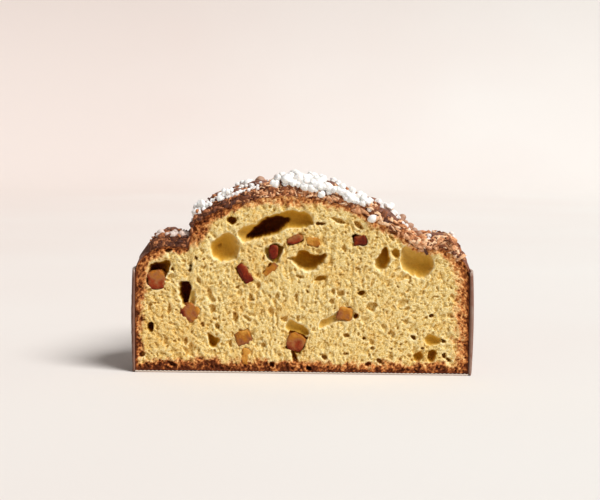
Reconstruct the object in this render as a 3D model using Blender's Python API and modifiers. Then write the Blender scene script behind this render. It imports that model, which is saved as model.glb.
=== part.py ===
"""One half of a colomba, the Easter cake in the shape of a dove, cut straight across its wings.

The case stands on Z = 0. The cut face looks along -Y, the tail reaches along +Y, the wings lie along X,
and the origin is the middle of the footprint. All sizes are in metres.
"""

import math
import random

import bmesh
import bpy
import numpy as np
from mathutils import Matrix, Vector, noise
from mathutils.bvhtree import BVHTree

# The plan: right side of the outline of the cake inside its case, from the cut to the end of the tail.
# Each point is (distance from the middle, distance behind the cut).
WING_LEAD_IN = (0.0955, -0.0220)
RIGHT_OUTLINE = (
    (0.0985, 0.0000),
    (0.1002, 0.0200),
    (0.0960, 0.0400),
    (0.0820, 0.0560),
    (0.0670, 0.0655),
    (0.0605, 0.0800),
    (0.0625, 0.1020),
    (0.0600, 0.1260),
    (0.0440, 0.1440),
    (0.0220, 0.1505),
)
TAIL_END = (0.0000, 0.1520)

# The paper case.
PAPER = 0.0010
CASE_HEIGHT = 0.0610
CASE_GAP = 0.0006
CASE_BULGE = 0.0008

# The cake above its case: a strand of dough along the body lies over a strand across the wings.
RIM_HEIGHT = 0.0575
EDGE_ROUND = 0.0210
BODY_PEAK = 0.1085
BODY_PEAK_BEHIND_CUT = 0.0300
BODY_FALL_TO_CUT = 3.3
BODY_FALL_TO_TAIL = 2.3
BODY_MIDDLE = -0.0080
BODY_FALL_SIDEWAYS = 5.2
WING_PEAK = 0.0780
WING_PEAK_BEHIND_CUT = 0.0180
WING_FALL = 8.0
BODY_HALF_WIDTH = 0.0655
STEP_LEFT = 0.0050
STEP_RIGHT = 0.0160
GROOVE_DEPTH = 0.0012
GROOVE_WIDTH = 0.0040
CRUST_RELIEF = 0.0007
CRUST_LUMP = 0.0120

# The almond glaze baked onto the top.
GLAZE = 0.0045
GLAZE_GAP = 0.0005
GLAZE_MARGIN = 0.0035
GLAZE_TAPER = 0.0090
GLAZE_EDGE = 0.0006
GLAZE_RELIEF = 0.0018
GLAZE_LUMP = 0.0110

# Whole almonds, half sunk in the glaze. Grains of sugar keep clear of them by the berth, a share of their size.
ALMOND = (0.0180, 0.0104, 0.0070)
ALMOND_GAP = 0.0004
ALMOND_POINT = 0.45
ALMOND_BERTH = 1.15
ALMOND_LIFT = 0.0038
# The almonds beside the cut: (across, behind the cut, turn about the surface's normal in degrees, length share).
FRONT_ALMONDS = (
    (0.0215, 0.0150, -14, 0.86),
    (0.0475, 0.0075, 8, 0.92),
    (-0.0270, 0.0190, 4, 1.00),
    (-0.0385, 0.0078, 12, 0.90),
    (0.0790, 0.0100, -10, 0.88),
)
BACK_ALMONDS = 12
ALMOND_SPACING = 0.0270

# Pearl sugar, the largest grains only.
PEARLS = 68
PEARL_SIZE = (0.0042, 0.0062)
PEARL_EDGE = 0.0140
PEARL_DRIFT = 0.0220
PEARL_CLOSEST = 0.85
SEED = 26

# Large air pockets in the cut face: (across, up, width, height, depth, tilt in degrees).
POCKETS = (
    (-0.0205, 0.0868, 0.0280, 0.0125, 0.0190, 24),
    (-0.0153, 0.0866, 0.0460, 0.0140, 0.0070, 20),
    (-0.0459, 0.0747, 0.0170, 0.0178, 0.0085, 0),
    (-0.0165, 0.0717, 0.0118, 0.0120, 0.0090, 0),
    (0.0030, 0.0676, 0.0230, 0.0118, 0.0140, -4),
    (0.0470, 0.0685, 0.0104, 0.0142, 0.0090, -14),
    (0.0667, 0.0659, 0.0182, 0.0196, 0.0085, 10),
    (0.0551, 0.0720, 0.0036, 0.0066, 0.0040, 0),
    (-0.0694, 0.0470, 0.0070, 0.0148, 0.0120, 0),
    (-0.0862, 0.0610, 0.0150, 0.0100, 0.0100, 30),
    (-0.0523, 0.0206, 0.0070, 0.0100, 0.0060, 0),
    (-0.0417, 0.0905, 0.0047, 0.0047, 0.0070, 0),
    (-0.0894, 0.0276, 0.0040, 0.0070, 0.0060, -20),
    (0.0340, 0.0797, 0.0088, 0.0068, 0.0070, 0),
    (0.0110, 0.0570, 0.0076, 0.0042, 0.0040, 20),
    (0.0356, 0.0489, 0.0042, 0.0036, 0.0050, 30),
    (0.0195, 0.0335, 0.0230, 0.0056, 0.0045, 32),
    (0.0693, 0.0112, 0.0053, 0.0065, 0.0045, 0),
    (0.0769, 0.0115, 0.0059, 0.0076, 0.0050, 0),
    (0.0776, 0.0212, 0.0106, 0.0066, 0.0050, -10),
)
LARGE_POCKET = 0.0080
POCKET_FORWARD = 0.12

# Candied orange peel that the knife met: (across, up, width, height, depth, tilt in degrees).
PEELS = (
    (-0.0858, 0.0560, 0.0084, 0.0090, 0.0075, 12),
    (-0.0660, 0.0358, 0.0092, 0.0088, 0.0080, -38),
    (-0.0347, 0.0218, 0.0092, 0.0078, 0.0075, 20),
    (-0.0035, 0.0188, 0.0096, 0.0100, 0.0080, -24),
    (-0.0340, 0.0594, 0.0124, 0.0048, 0.0060, -56),
    (-0.0178, 0.0727, 0.0050, 0.0078, 0.0060, -12),
    (-0.0190, 0.0622, 0.0094, 0.0032, 0.0050, 42),
    (-0.0042, 0.0800, 0.0090, 0.0036, 0.0050, 18),
    (0.0068, 0.0785, 0.0072, 0.0050, 0.0055, -8),
    (0.0345, 0.0795, 0.0064, 0.0042, 0.0050, 6),
    (0.0256, 0.0359, 0.0074, 0.0064, 0.0060, -14),
    (-0.0332, 0.0105, 0.0034, 0.0092, 0.0040, -4),
)
PEEL_GAP = 0.0004
PEEL_ROUND = 0.0007
PEEL_BEHIND = 0.30

# How finely the surfaces are divided. The last rows run round the plan at fixed distances from its edge.
COLUMNS = 46
ROWS = 16
EDGE_ROWS = (0.0090, 0.0030)
BARE_COLUMNS = 2
OUTLINE_STEPS = 24
CASE_SEGMENTS = 56

BEHIND_CUT = TAIL_END[1] + CASE_GAP + CASE_BULGE + PAPER
CUT_Y = -BEHIND_CUT / 2
FLOOR_OF_CAKE = PAPER + 0.0004


def material(name, colour, roughness, metallic=0.0):
    made = bpy.data.materials.new(name)
    made.use_nodes = True
    shader = made.node_tree.nodes["Principled BSDF"]
    shader.inputs["Base Color"].default_value = (*colour, 1.0)
    shader.inputs["Roughness"].default_value = roughness
    shader.inputs["Metallic"].default_value = metallic
    return made


def collection(name):
    made = bpy.data.collections.new(name)
    bpy.context.scene.collection.children.link(made)
    return made


def object_of(mesh_maker, name, where, finish=None):
    """A new object in the collection `where`, from a bmesh that `mesh_maker` fills."""
    shape = bmesh.new()
    mesh_maker(shape)
    bmesh.ops.recalc_face_normals(shape, faces=shape.faces)
    mesh = bpy.data.meshes.new(name)
    shape.to_mesh(mesh)
    shape.free()
    if finish:
        mesh.materials.append(finish)
    made = bpy.data.objects.new(name, mesh)
    where.objects.link(made)
    return made


def as_cutter(cutter):
    cutter.hide_render = True
    cutter.display_type = "WIRE"


def spline_through(points, steps):
    """A Catmull-Rom curve through the inner points. The two end points only steer it."""
    curve = []
    for a, b, c, d in zip(points, points[1:], points[2:], points[3:]):
        for i in range(steps):
            t = i / steps
            curve.append(
                0.5 * (2 * b + (c - a) * t + (2 * a - 5 * b + 4 * c - d) * t**2 + (3 * b - a - 3 * c + d) * t**3)
            )
    curve.append(points[-2])
    return np.array(curve)


def outline(count, offset=0.0):
    """`count` + 1 points round the plan, evenly spaced from the right end of the cut to its left end."""
    right = [WING_LEAD_IN, *RIGHT_OUTLINE]
    left = [(-x, v) for x, v in reversed(right)]
    curve = spline_through([np.array(p) for p in [*right, TAIL_END, *left]], OUTLINE_STEPS)
    along = np.concatenate([[0], np.cumsum(np.linalg.norm(np.diff(curve, axis=0), axis=1))])
    even = np.linspace(0, along[-1], count + 1)
    points = np.stack([np.interp(even, along, curve[:, axis]) for axis in (0, 1)], axis=1)
    heading = np.gradient(points, axis=0)
    heading /= np.linalg.norm(heading, axis=1)[:, None]
    moved = points + offset * np.stack([heading[:, 1], -heading[:, 0]], axis=1)
    moved[[0, -1], 1] = 0.0
    return moved


EDGE = outline(400)


def edge_distance(x, v):
    return float(np.min(np.hypot(EDGE[:, 0] - x, EDGE[:, 1] - v)))


def smooth_step(t):
    t = min(max(t, 0.0), 1.0)
    return t * t * (3 - 2 * t)


def relief(x, v, lump, seed_height):
    return noise.noise(Vector((x / lump, v / lump, seed_height)))


def crust_height(x, v):
    """Height of the baked crust above the table at a place `x` across and `v` behind the cut."""
    behind_peak = v - BODY_PEAK_BEHIND_CUT
    fall = BODY_FALL_TO_TAIL if behind_peak > 0 else BODY_FALL_TO_CUT
    body = BODY_PEAK - fall * behind_peak**2 - BODY_FALL_SIDEWAYS * (x - BODY_MIDDLE) ** 2
    wing = WING_PEAK - WING_FALL * (v - WING_PEAK_BEHIND_CUT) ** 2
    step = STEP_LEFT if x < 0 else STEP_RIGHT
    out_of_body = abs(x) - BODY_HALF_WIDTH
    on_body = smooth_step(0.5 - out_of_body / step)
    groove = GROOVE_DEPTH * math.exp(-(((out_of_body - step / 2) / GROOVE_WIDTH) ** 2))
    top = wing + (body - wing) * on_body - groove
    inward = min(edge_distance(x, v) / EDGE_ROUND, 1.0)
    rounded = math.sqrt(max(0.0, 1 - (1 - inward) ** 2))
    bumps = CRUST_RELIEF * relief(x, v, CRUST_LUMP, 3.1) * inward
    return RIM_HEIGHT + (top - RIM_HEIGHT) * rounded + bumps


def glaze_thickness(x, v):
    full = smooth_step((edge_distance(x, v) - GLAZE_MARGIN) / GLAZE_TAPER)
    bumps = GLAZE_RELIEF * relief(x, v, GLAZE_LUMP, 9.7)
    return GLAZE_EDGE + (GLAZE - GLAZE_EDGE + bumps) * full


def place(x, v, z):
    return Vector((x, CUT_Y + v, z))


def surface_normal(x, v, reach=0.004):
    """The outward normal of the crust, over a patch as wide as an almond."""
    across = crust_height(x + reach, v) - crust_height(x - reach, v)
    along = crust_height(x, v + reach) - crust_height(x, max(v - reach, 0.0))
    return Vector((-across, -along, 2 * reach)).normalized()


def row_share(row, reach):
    """How far along a line of length `reach`, from the cut to the outline, a row of the grid crosses it."""
    inner = ROWS - len(EDGE_ROWS)
    shares = [1 - min(step / max(reach, 1e-6), 0.05 * step / EDGE_ROWS[-1]) for step in EDGE_ROWS] + [1.0]
    return shares[0] * row / inner if row < inner else shares[row - inner]


def fan_grid(shape):
    """A grid that fans from the cut line to the outline, with each vertex's column and row kept in layers."""
    rim = outline(COLUMNS)
    cut_line = np.linspace(rim[0], rim[-1], COLUMNS + 1)
    bmesh.ops.create_grid(shape, x_segments=COLUMNS, y_segments=ROWS, size=0.5)
    in_row = shape.verts.layers.int.new("row")
    in_column = shape.verts.layers.int.new("column")
    for vertex in shape.verts:
        column = round((vertex.co.x + 0.5) * COLUMNS)
        row = round((vertex.co.y + 0.5) * ROWS)
        vertex[in_column], vertex[in_row] = column, row
        start, reach = cut_line[column], rim[column] - cut_line[column]
        x, v = start + reach * row_share(row, np.linalg.norm(reach))
        vertex.co = place(x, v, crust_height(x, v))
    bmesh.ops.remove_doubles(shape, verts=shape.verts, dist=1e-5)
    bmesh.ops.triangulate(shape, faces=shape.faces, quad_method="FIXED")


def fill_cake(shape):
    """The crust's top, its walls and the flat cut, all as one closed body."""
    fan_grid(shape)
    border = [e for e in shape.edges if e.is_boundary]
    for level in (RIM_HEIGHT / 2, FLOOR_OF_CAKE):
        grown = bmesh.ops.extrude_edge_only(shape, edges=border)["geom"]
        for vertex in (g for g in grown if isinstance(g, bmesh.types.BMVert)):
            vertex.co.z = level
        border = [g for g in grown if isinstance(g, bmesh.types.BMEdge) and g.is_boundary]
    bmesh.ops.holes_fill(shape, edges=border)


def fill_glaze(shape):
    """A sheet over the crust, thickest on the dome and thin where it ends short of the case."""
    fan_grid(shape)
    in_row, in_column = shape.verts.layers.int["row"], shape.verts.layers.int["column"]
    bare = [
        f
        for f in shape.faces
        if max(v[in_row] for v in f.verts) > ROWS - len(EDGE_ROWS)
        or min(v[in_column] for v in f.verts) < BARE_COLUMNS
        or max(v[in_column] for v in f.verts) > COLUMNS - BARE_COLUMNS
    ]
    bmesh.ops.delete(shape, geom=bare, context="FACES")
    for vertex in shape.verts:
        vertex.co.z += GLAZE_GAP
    lower = list(shape.faces)
    upper = bmesh.ops.extrude_face_region(shape, geom=lower, use_keep_orig=True)["geom"]
    for vertex in (g for g in upper if isinstance(g, bmesh.types.BMVert)):
        vertex.co.z += glaze_thickness(vertex.co.x, vertex.co.y - CUT_Y)


def pocket_cutter(pocket, name, where):
    """An air bubble, as a stretched sphere centred a little in front of the cut, with more faces on a large one."""
    x, z, width, height, depth, tilt = pocket
    turn = Matrix.Rotation(-math.radians(tilt), 4, "Y")
    size = Matrix.Diagonal((width / 2, depth, height / 2, 1.0))
    middle = Matrix.Translation(place(x, -POCKET_FORWARD * depth, z))
    fineness = 2 if max(width, height) > LARGE_POCKET else 1

    def bubble(shape):
        bmesh.ops.create_icosphere(shape, subdivisions=fineness, radius=1.0, matrix=middle @ turn @ size)

    cutter = object_of(bubble, name, where)
    as_cutter(cutter)


def peel_block(peel, grow):
    """A maker for one cube of peel, sliced flush by the cut, or grown into the hole it sits in."""
    x, z, width, height, depth, tilt = peel
    turn = Matrix.Rotation(-math.radians(tilt), 4, "Y") @ Matrix.Rotation(math.radians(tilt / 3), 4, "X")
    size = Matrix.Diagonal((width + 2 * grow, depth + 2 * grow, height + 2 * grow, 1.0))
    middle = Matrix.Translation(place(x, PEEL_BEHIND * depth, z))

    def block(shape):
        bmesh.ops.create_cube(shape, size=1.0, matrix=middle @ turn @ size)
        bmesh.ops.bevel(
            shape, geom=shape.edges[:], offset=PEEL_ROUND, segments=1, affect="EDGES", clamp_overlap=True
        )
        if grow == 0:
            cut = bmesh.ops.bisect_plane(
                shape,
                geom=[*shape.verts, *shape.edges, *shape.faces],
                plane_co=place(0, 0, 0),
                plane_no=(0, -1, 0),
                clear_outer=True,
            )["geom_cut"]
            bmesh.ops.holes_fill(shape, edges=[g for g in cut if isinstance(g, bmesh.types.BMEdge)])

    return block


def almond_matrix(x, v, turn_degrees):
    normal = surface_normal(x, v)
    across = Vector((0, 1, 0)).cross(normal).normalized()
    lie = Matrix((across, normal.cross(across), normal)).transposed().to_4x4()
    middle = place(x, v, crust_height(x, v)) + normal * ALMOND_LIFT
    return Matrix.Translation(middle) @ lie @ Matrix.Rotation(math.radians(turn_degrees), 4, "Z")


def almond_body(spot, grow):
    """A maker for one almond: a flattened drop, pointed at one end."""
    x, v, turn_degrees, share = spot
    length, width, thickness = (side * share / 2 + grow for side in ALMOND)
    matrix = almond_matrix(x, v, turn_degrees)

    def drop(shape):
        bmesh.ops.create_icosphere(shape, subdivisions=2, radius=1.0)
        for vertex in shape.verts:
            a, b, c = vertex.co
            narrow = 1 - ALMOND_POINT * max(a, 0.0) ** 2
            vertex.co = matrix @ Vector((a * length, b * width * narrow, c * thickness * narrow))

    return drop


def almond_spots(rng):
    """The almonds by the cut, then more over the rest of the top, never closer than their spacing."""
    spots = list(FRONT_ALMONDS)
    while len(spots) < len(FRONT_ALMONDS) + BACK_ALMONDS:
        x, v = rng.uniform(-0.085, 0.085), rng.uniform(0.020, 0.140)
        turn, share = rng.uniform(0, 180), rng.uniform(0.84, 1.05)
        inside = abs(x) < BODY_HALF_WIDTH - 0.012 or (v < 0.042 and abs(x) > BODY_HALF_WIDTH + 0.010)
        if not inside or edge_distance(x, v) < 0.020:
            continue
        if min(math.hypot(x - s[0], v - s[1]) for s in spots) < ALMOND_SPACING:
            continue
        spots.append((x, v, turn, share))
    return spots


def clear_of_almonds(x, v, radius, almonds):
    """True if a grain at this place touches no almond."""
    for ax, av, turn, share in almonds:
        heading = math.radians(turn)
        dx, dv = x - ax, v - av
        lengthwise = dx * math.cos(heading) + dv * math.sin(heading)
        sideways = -dx * math.sin(heading) + dv * math.cos(heading)
        if math.hypot(
            lengthwise / (ALMOND[0] * share / 2 + radius), sideways / (ALMOND[1] * share / 2 + radius)
        ) < ALMOND_BERTH:
            return False
    return True


def pearl_spots(rng, almonds):
    """Places for the sugar grains, thicker in drifts than between them, the largest grains first."""
    spots = []
    while len(spots) < PEARLS:
        x, v = rng.uniform(-0.092, 0.092), rng.uniform(0.004, 0.142)
        radius = rng.uniform(*PEARL_SIZE) / 2
        drift = relief(x, v, PEARL_DRIFT, 5.3) + rng.uniform(-0.25, 0.35)
        if abs(x) > BODY_HALF_WIDTH and v > 0.060:
            continue
        if edge_distance(x, v) < PEARL_EDGE and v > 0.004:
            continue
        if drift < 0 or not clear_of_almonds(x, v, radius, almonds):
            continue
        if any(math.hypot(x - s[0], v - s[1]) < PEARL_CLOSEST * (radius + s[2]) for s in spots):
            continue
        spots.append((x, v, radius))
    return sorted(spots, key=lambda spot: -spot[2])


def pearl_grain(spot, rng, ground):
    """A maker for one lump of sugar, pressed a quarter of the way into the sheet `ground`."""
    x, v, radius = spot
    surface = ground.ray_cast(place(x, v, 2 * BODY_PEAK), Vector((0, 0, -1)))[0]
    stretch = Matrix.Diagonal([rng.uniform(0.85, 1.15) * radius for _ in range(3)] + [1.0])
    turn = Matrix.Rotation(rng.uniform(0, math.pi), 4, "Z") @ Matrix.Rotation(rng.uniform(0, math.pi), 4, "X")
    middle = Matrix.Translation(surface + Vector((0, 0, 0.5 * radius)))

    def lump(shape):
        bmesh.ops.create_icosphere(shape, subdivisions=1, radius=1.0, matrix=middle @ turn @ stretch)

    return lump


def boolean(target, operation, operands, solver="EXACT"):
    cut = target.modifiers.new(operation.lower(), "BOOLEAN")
    cut.operation = operation
    cut.operand_type = "COLLECTION"
    cut.collection = operands
    cut.solver = solver


def apply_modifiers(target):
    evaluated = target.evaluated_get(bpy.context.evaluated_depsgraph_get())
    baked = bpy.data.meshes.new_from_object(evaluated)
    target.modifiers.clear()
    target.data = baked


def case_sheet(shape):
    """The case's inner faces: its base and the wall round the outline, open at the cut."""
    ring = outline(CASE_SEGMENTS, CASE_GAP)
    floor = [shape.verts.new(place(x, v, PAPER)) for x, v in ring]
    shape.faces.new(floor)
    lower = [(a, b) for a, b in zip(floor, floor[1:])]
    for level in (0.5, 1.0):
        swell = 4 * level * (1 - level) * CASE_BULGE
        height = PAPER + (CASE_HEIGHT - PAPER) * level
        upper = [shape.verts.new(place(x, v, height)) for x, v in outline(CASE_SEGMENTS, CASE_GAP + swell)]
        for (a, b), c, d in zip(lower, upper, upper[1:]):
            shape.faces.new((a, b, d, c))
        lower = list(zip(upper, upper[1:]))


def build_case(parts, paper):
    case = object_of(case_sheet, "paper_case", parts, paper)
    shell = case.modifiers.new("paper", "SOLIDIFY")
    shell.thickness = PAPER
    shell.offset = 1.0
    shell.use_even_offset = True
    return case


def build():
    for old in list(bpy.data.objects):
        bpy.data.objects.remove(old)
    rng = random.Random(SEED)
    parts = collection("half_colomba")
    crumb_cutters = collection("pocket_cutters")
    almond_cutters = collection("almond_cutters")
    pearls = collection("pearls")

    crumb = material("crumb_and_crust", (0.80, 0.56, 0.20), 0.85)
    glaze_finish = material("almond_glaze", (0.42, 0.22, 0.11), 0.75)
    skin = material("almond_skin", (0.22, 0.09, 0.05), 0.65)
    orange = material("candied_peel", (0.50, 0.19, 0.06), 0.35)
    paper = material("brown_paper", (0.09, 0.045, 0.03), 0.80)

    cake = object_of(fill_cake, "cake", parts, crumb)
    glaze = object_of(fill_glaze, "almond_glaze", parts, glaze_finish)
    build_case(parts, paper)

    almonds = almond_spots(rng)
    for number, spot in enumerate(almonds, 1):
        almond = object_of(almond_body(spot, 0.0), f"almond_{number:02d}", parts, skin)
        almond.data.shade_smooth()
        cutter = object_of(almond_body(spot, ALMOND_GAP), f"almond_bed_{number:02d}", almond_cutters)
        as_cutter(cutter)

    ground = BVHTree.FromObject(glaze, bpy.context.evaluated_depsgraph_get())
    for number, spot in enumerate(pearl_spots(rng, almonds), 1):
        object_of(pearl_grain(spot, rng, ground), f"pearl_{number:03d}", pearls)
    boolean(glaze, "UNION", pearls)
    apply_modifiers(glaze)
    for grain in list(pearls.objects):
        bpy.data.objects.remove(grain)
    bpy.data.collections.remove(pearls)

    for number, peel in enumerate(PEELS, 1):
        object_of(peel_block(peel, 0.0), f"candied_peel_{number:02d}", parts, orange)
        bed = object_of(peel_block(peel, PEEL_GAP), f"peel_bed_{number:02d}", crumb_cutters)
        as_cutter(bed)
    for number, pocket in enumerate(POCKETS, 1):
        pocket_cutter(pocket, f"pocket_{number:02d}", crumb_cutters)

    boolean(cake, "DIFFERENCE", crumb_cutters, "MANIFOLD")
    boolean(cake, "DIFFERENCE", almond_cutters, "MANIFOLD")
    boolean(glaze, "DIFFERENCE", almond_cutters)


build()
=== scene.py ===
import math
import random

import bmesh
import bpy
import numpy as np
from mathutils import Matrix, Vector, noise


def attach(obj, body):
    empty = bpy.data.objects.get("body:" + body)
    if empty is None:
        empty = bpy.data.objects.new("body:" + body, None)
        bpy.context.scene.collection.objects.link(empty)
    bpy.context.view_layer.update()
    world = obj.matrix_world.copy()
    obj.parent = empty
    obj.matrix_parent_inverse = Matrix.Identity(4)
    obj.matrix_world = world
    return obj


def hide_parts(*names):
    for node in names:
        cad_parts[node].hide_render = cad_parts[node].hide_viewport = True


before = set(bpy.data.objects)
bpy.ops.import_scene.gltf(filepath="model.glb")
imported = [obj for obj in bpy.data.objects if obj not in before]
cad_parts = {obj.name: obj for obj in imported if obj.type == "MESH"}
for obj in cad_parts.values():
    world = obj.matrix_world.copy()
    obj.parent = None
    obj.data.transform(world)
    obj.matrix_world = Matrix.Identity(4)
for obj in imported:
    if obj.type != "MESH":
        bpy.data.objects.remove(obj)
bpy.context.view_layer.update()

# The form that the solids have, in metres: x across the cut, v behind it, z up.
cakeForm = {
    "wingLeadIn": (0.0955, -0.0220),
    "rightOutline": (
        (0.0985, 0.0000), (0.1002, 0.0200), (0.0960, 0.0400), (0.0820, 0.0560), (0.0670, 0.0655),
        (0.0605, 0.0800), (0.0625, 0.1020), (0.0600, 0.1260), (0.0440, 0.1440), (0.0220, 0.1505),
    ),
    "tailEnd": (0.0, 0.1520),
    "rimHeight": 0.0575,
    "edgeRound": 0.0210,
    "bodyPeak": 0.1085,
    "bodyPeakBehindCut": 0.0300,
    "bodyFallToCut": 3.3,
    "bodyFallToTail": 2.3,
    "bodyMiddle": -0.0080,
    "bodyFallSideways": 5.2,
    "wingPeak": 0.0780,
    "wingPeakBehindCut": 0.0180,
    "wingFall": 8.0,
    "bodyHalfWidth": 0.0655,
    "stepLeft": 0.0050,
    "stepRight": 0.0160,
    "grooveDepth": 0.0012,
    "grooveWidth": 0.0040,
    "crustRelief": 0.0007,
    "crustLump": 0.0120,
}
glazeForm = {
    "thickness": 0.0045,
    "gap": 0.0005,
    "margin": 0.0035,
    "taper": 0.0090,
    "edge": 0.0006,
    "relief": 0.0018,
    "lump": 0.0110,
    "bareShare": 2 / 46,
    "bareRim": 0.0030,
}
caseForm = {"paper": 0.0010, "height": 0.0610, "gap": 0.0006, "bulge": 0.0008}

behindCut = cakeForm["tailEnd"][1] + caseForm["gap"] + caseForm["bulge"] + caseForm["paper"]
cutY = -behindCut / 2
cakeFloor = caseForm["paper"] + 0.0004
halfCut = cakeForm["rightOutline"][0][0]


def splineThrough(points, steps):
    curve = []
    for a, b, c, d in zip(points, points[1:], points[2:], points[3:]):
        for i in range(steps):
            t = i / steps
            cubic = (3 * b - a - 3 * c + d) * t**3
            curve.append(0.5 * (2 * b + (c - a) * t + (2 * a - 5 * b + 4 * c - d) * t**2 + cubic))
    curve.append(points[-2])
    return np.array(curve)


def outline(count, offset=0.0):
    # count + 1 points round the plan, from the right end of the cut to its left end
    right = [cakeForm["wingLeadIn"], *cakeForm["rightOutline"]]
    left = [(-x, v) for x, v in reversed(right)]
    curve = splineThrough([np.array(p) for p in [*right, cakeForm["tailEnd"], *left]], 24)
    along = np.concatenate([[0], np.cumsum(np.linalg.norm(np.diff(curve, axis=0), axis=1))])
    even = np.linspace(0, along[-1], count + 1)
    points = np.stack([np.interp(even, along, curve[:, axis]) for axis in (0, 1)], axis=1)
    heading = np.gradient(points, axis=0)
    heading /= np.linalg.norm(heading, axis=1)[:, None]
    moved = points + np.asarray(offset).reshape(-1, 1) * np.stack([heading[:, 1], -heading[:, 0]], axis=1)
    moved[[0, -1], 1] = 0.0
    return moved


planEdge = outline(400)
planLoop = np.concatenate([planEdge, planEdge[:1]])


def edgeDistance(x, v):
    x, v = np.broadcast_arrays(np.asarray(x, float), np.asarray(v, float))
    if x.size < 100:   # few places: all of the edge at once
        return np.min(np.hypot(x[..., None] - planEdge[:, 0], v[..., None] - planEdge[:, 1]), axis=-1)
    nearest = np.full(x.shape, 1.0)
    for edgeX, edgeV in planEdge:
        nearest = np.minimum(nearest, np.hypot(x - edgeX, v - edgeV))
    return nearest


def smoothStep(t):
    t = np.clip(t, 0.0, 1.0)
    return t * t * (3 - 2 * t)


def relief(x, v, lump, seedHeight):
    x, v = np.broadcast_arrays(np.asarray(x, float), np.asarray(v, float))
    flat = [noise.noise(Vector((a / lump, b / lump, seedHeight))) for a, b in zip(x.ravel(), v.ravel())]
    return np.array(flat).reshape(x.shape)


def crustHeight(x, v):
    f = cakeForm
    x, v = np.broadcast_arrays(np.asarray(x, float), np.asarray(v, float))
    behindPeak = v - f["bodyPeakBehindCut"]
    fall = np.where(behindPeak > 0, f["bodyFallToTail"], f["bodyFallToCut"])
    body = f["bodyPeak"] - fall * behindPeak**2 - f["bodyFallSideways"] * (x - f["bodyMiddle"]) ** 2
    wing = f["wingPeak"] - f["wingFall"] * (v - f["wingPeakBehindCut"]) ** 2
    step = np.where(x < 0, f["stepLeft"], f["stepRight"])
    outOfBody = np.abs(x) - f["bodyHalfWidth"]
    onBody = smoothStep(0.5 - outOfBody / step)
    groove = f["grooveDepth"] * np.exp(-(((outOfBody - step / 2) / f["grooveWidth"]) ** 2))
    top = wing + (body - wing) * onBody - groove
    inward = np.minimum(edgeDistance(x, v) / f["edgeRound"], 1.0)
    rounded = np.sqrt(np.maximum(0.0, 1 - (1 - inward) ** 2))
    bumps = f["crustRelief"] * relief(x, v, f["crustLump"], 3.1) * inward
    return f["rimHeight"] + (top - f["rimHeight"]) * rounded + bumps


def glazeThickness(x, v):
    g = glazeForm
    full = smoothStep((edgeDistance(x, v) - g["margin"]) / g["taper"])
    bumps = g["relief"] * relief(x, v, g["lump"], 9.7)
    return g["edge"] + (g["thickness"] - g["edge"] + bumps) * full


def fanPlan(columns, shares):
    # plan points in columns from the cut line to the outline; shares has a row of places for each column
    rim = outline(columns)
    cutLine = np.linspace(rim[0], rim[-1], columns + 1)
    plan = cutLine[:, None, :] + (rim - cutLine)[:, None, :] * shares[:, :, None]
    return plan[..., 0], plan[..., 1], np.linalg.norm(rim - cutLine, axis=1)


def gridFaces(columns, rows, flip=False):
    first = (np.arange(columns - 1)[:, None] * rows + np.arange(rows - 1)[None, :]).ravel()
    faces = np.stack([first, first + rows, first + rows + 1, first + 1], axis=1)
    return faces[:, ::-1] if flip else faces


def meshPiece(name, points, faces, material, stands=(), slot=None, weld=0.0, **attributes):
    mesh = bpy.data.meshes.new(name)
    mesh.from_pydata(np.asarray(points, float).tolist(), [], np.asarray(faces).tolist())
    for label, values in attributes.items():
        layer = mesh.attributes.new(label, "FLOAT", "POINT")
        layer.data.foreach_set("value", np.asarray(values, np.float32).ravel())
    if weld:
        shape = bmesh.new()
        shape.from_mesh(mesh)
        bmesh.ops.remove_doubles(shape, verts=shape.verts, dist=weld)
        bmesh.ops.dissolve_degenerate(shape, dist=weld, edges=shape.edges)
        shape.to_mesh(mesh)
        shape.free()
    mesh.materials.append(material)
    mesh.shade_smooth()
    piece = bpy.data.objects.new(name, mesh)
    bpy.context.scene.collection.objects.link(piece)
    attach(piece, "root")
    if stands:
        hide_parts(*stands)
    return piece


# a shader node with its settings, and its inputs set or linked
def addNode(tree, kind, inputs=(), **settings):
    made = tree.nodes.new("ShaderNode" + kind)
    for key, value in settings.items():
        setattr(made, key, value)
    for key, value in dict(inputs).items():
        if isinstance(value, bpy.types.NodeSocket):
            tree.links.new(value, made.inputs[key])
        else:
            made.inputs[key].default_value = value
    return made


def addRamp(tree, factor, stops):
    made = addNode(tree, "ValToRGB", {"Fac": factor})
    ramp = made.color_ramp
    while len(ramp.elements) < len(stops):
        ramp.elements.new(0.5)
    for element, (place, colour) in zip(ramp.elements, stops):
        element.position = place
        element.color = (*colour, 1.0)
    return made.outputs["Color"]


def addMath(tree, operation, *values, clamp=False):
    made = addNode(tree, "Math", enumerate(values), operation=operation, use_clamp=clamp)
    return made.outputs["Value"]


def mixColours(tree, factor, a, b, blend="MIX"):
    a, b = ((*colour, 1.0) if isinstance(colour, tuple) else colour for colour in (a, b))
    made = addNode(tree, "Mix", {0: factor, 6: a, 7: b}, data_type="RGBA", blend_type=blend)
    return made.outputs[2]


def newMaterial(name, values):
    made = bpy.data.materials.new(name)
    made.use_nodes = True
    tree = made.node_tree
    shader = tree.nodes["Principled BSDF"]
    for label, value in values.items():
        shader.inputs[label].default_value = value
    where = addNode(tree, "TexCoord").outputs["Object"]
    return made, tree, shader, where


def dressShader(tree, shader, colour, height, strength, distance, invert=True):
    # colour and fine relief of a surface; inverted where the pattern is one of pits
    tree.links.new(colour, shader.inputs["Base Color"])
    inputs = {"Strength": strength, "Distance": distance, "Height": height}
    bump = addNode(tree, "Bump", inputs, invert=invert)
    tree.links.new(bump.outputs["Normal"], shader.inputs["Normal"])


def attributeOf(tree, label):
    return addNode(tree, "Attribute", attribute_name=label).outputs["Fac"]


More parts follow.
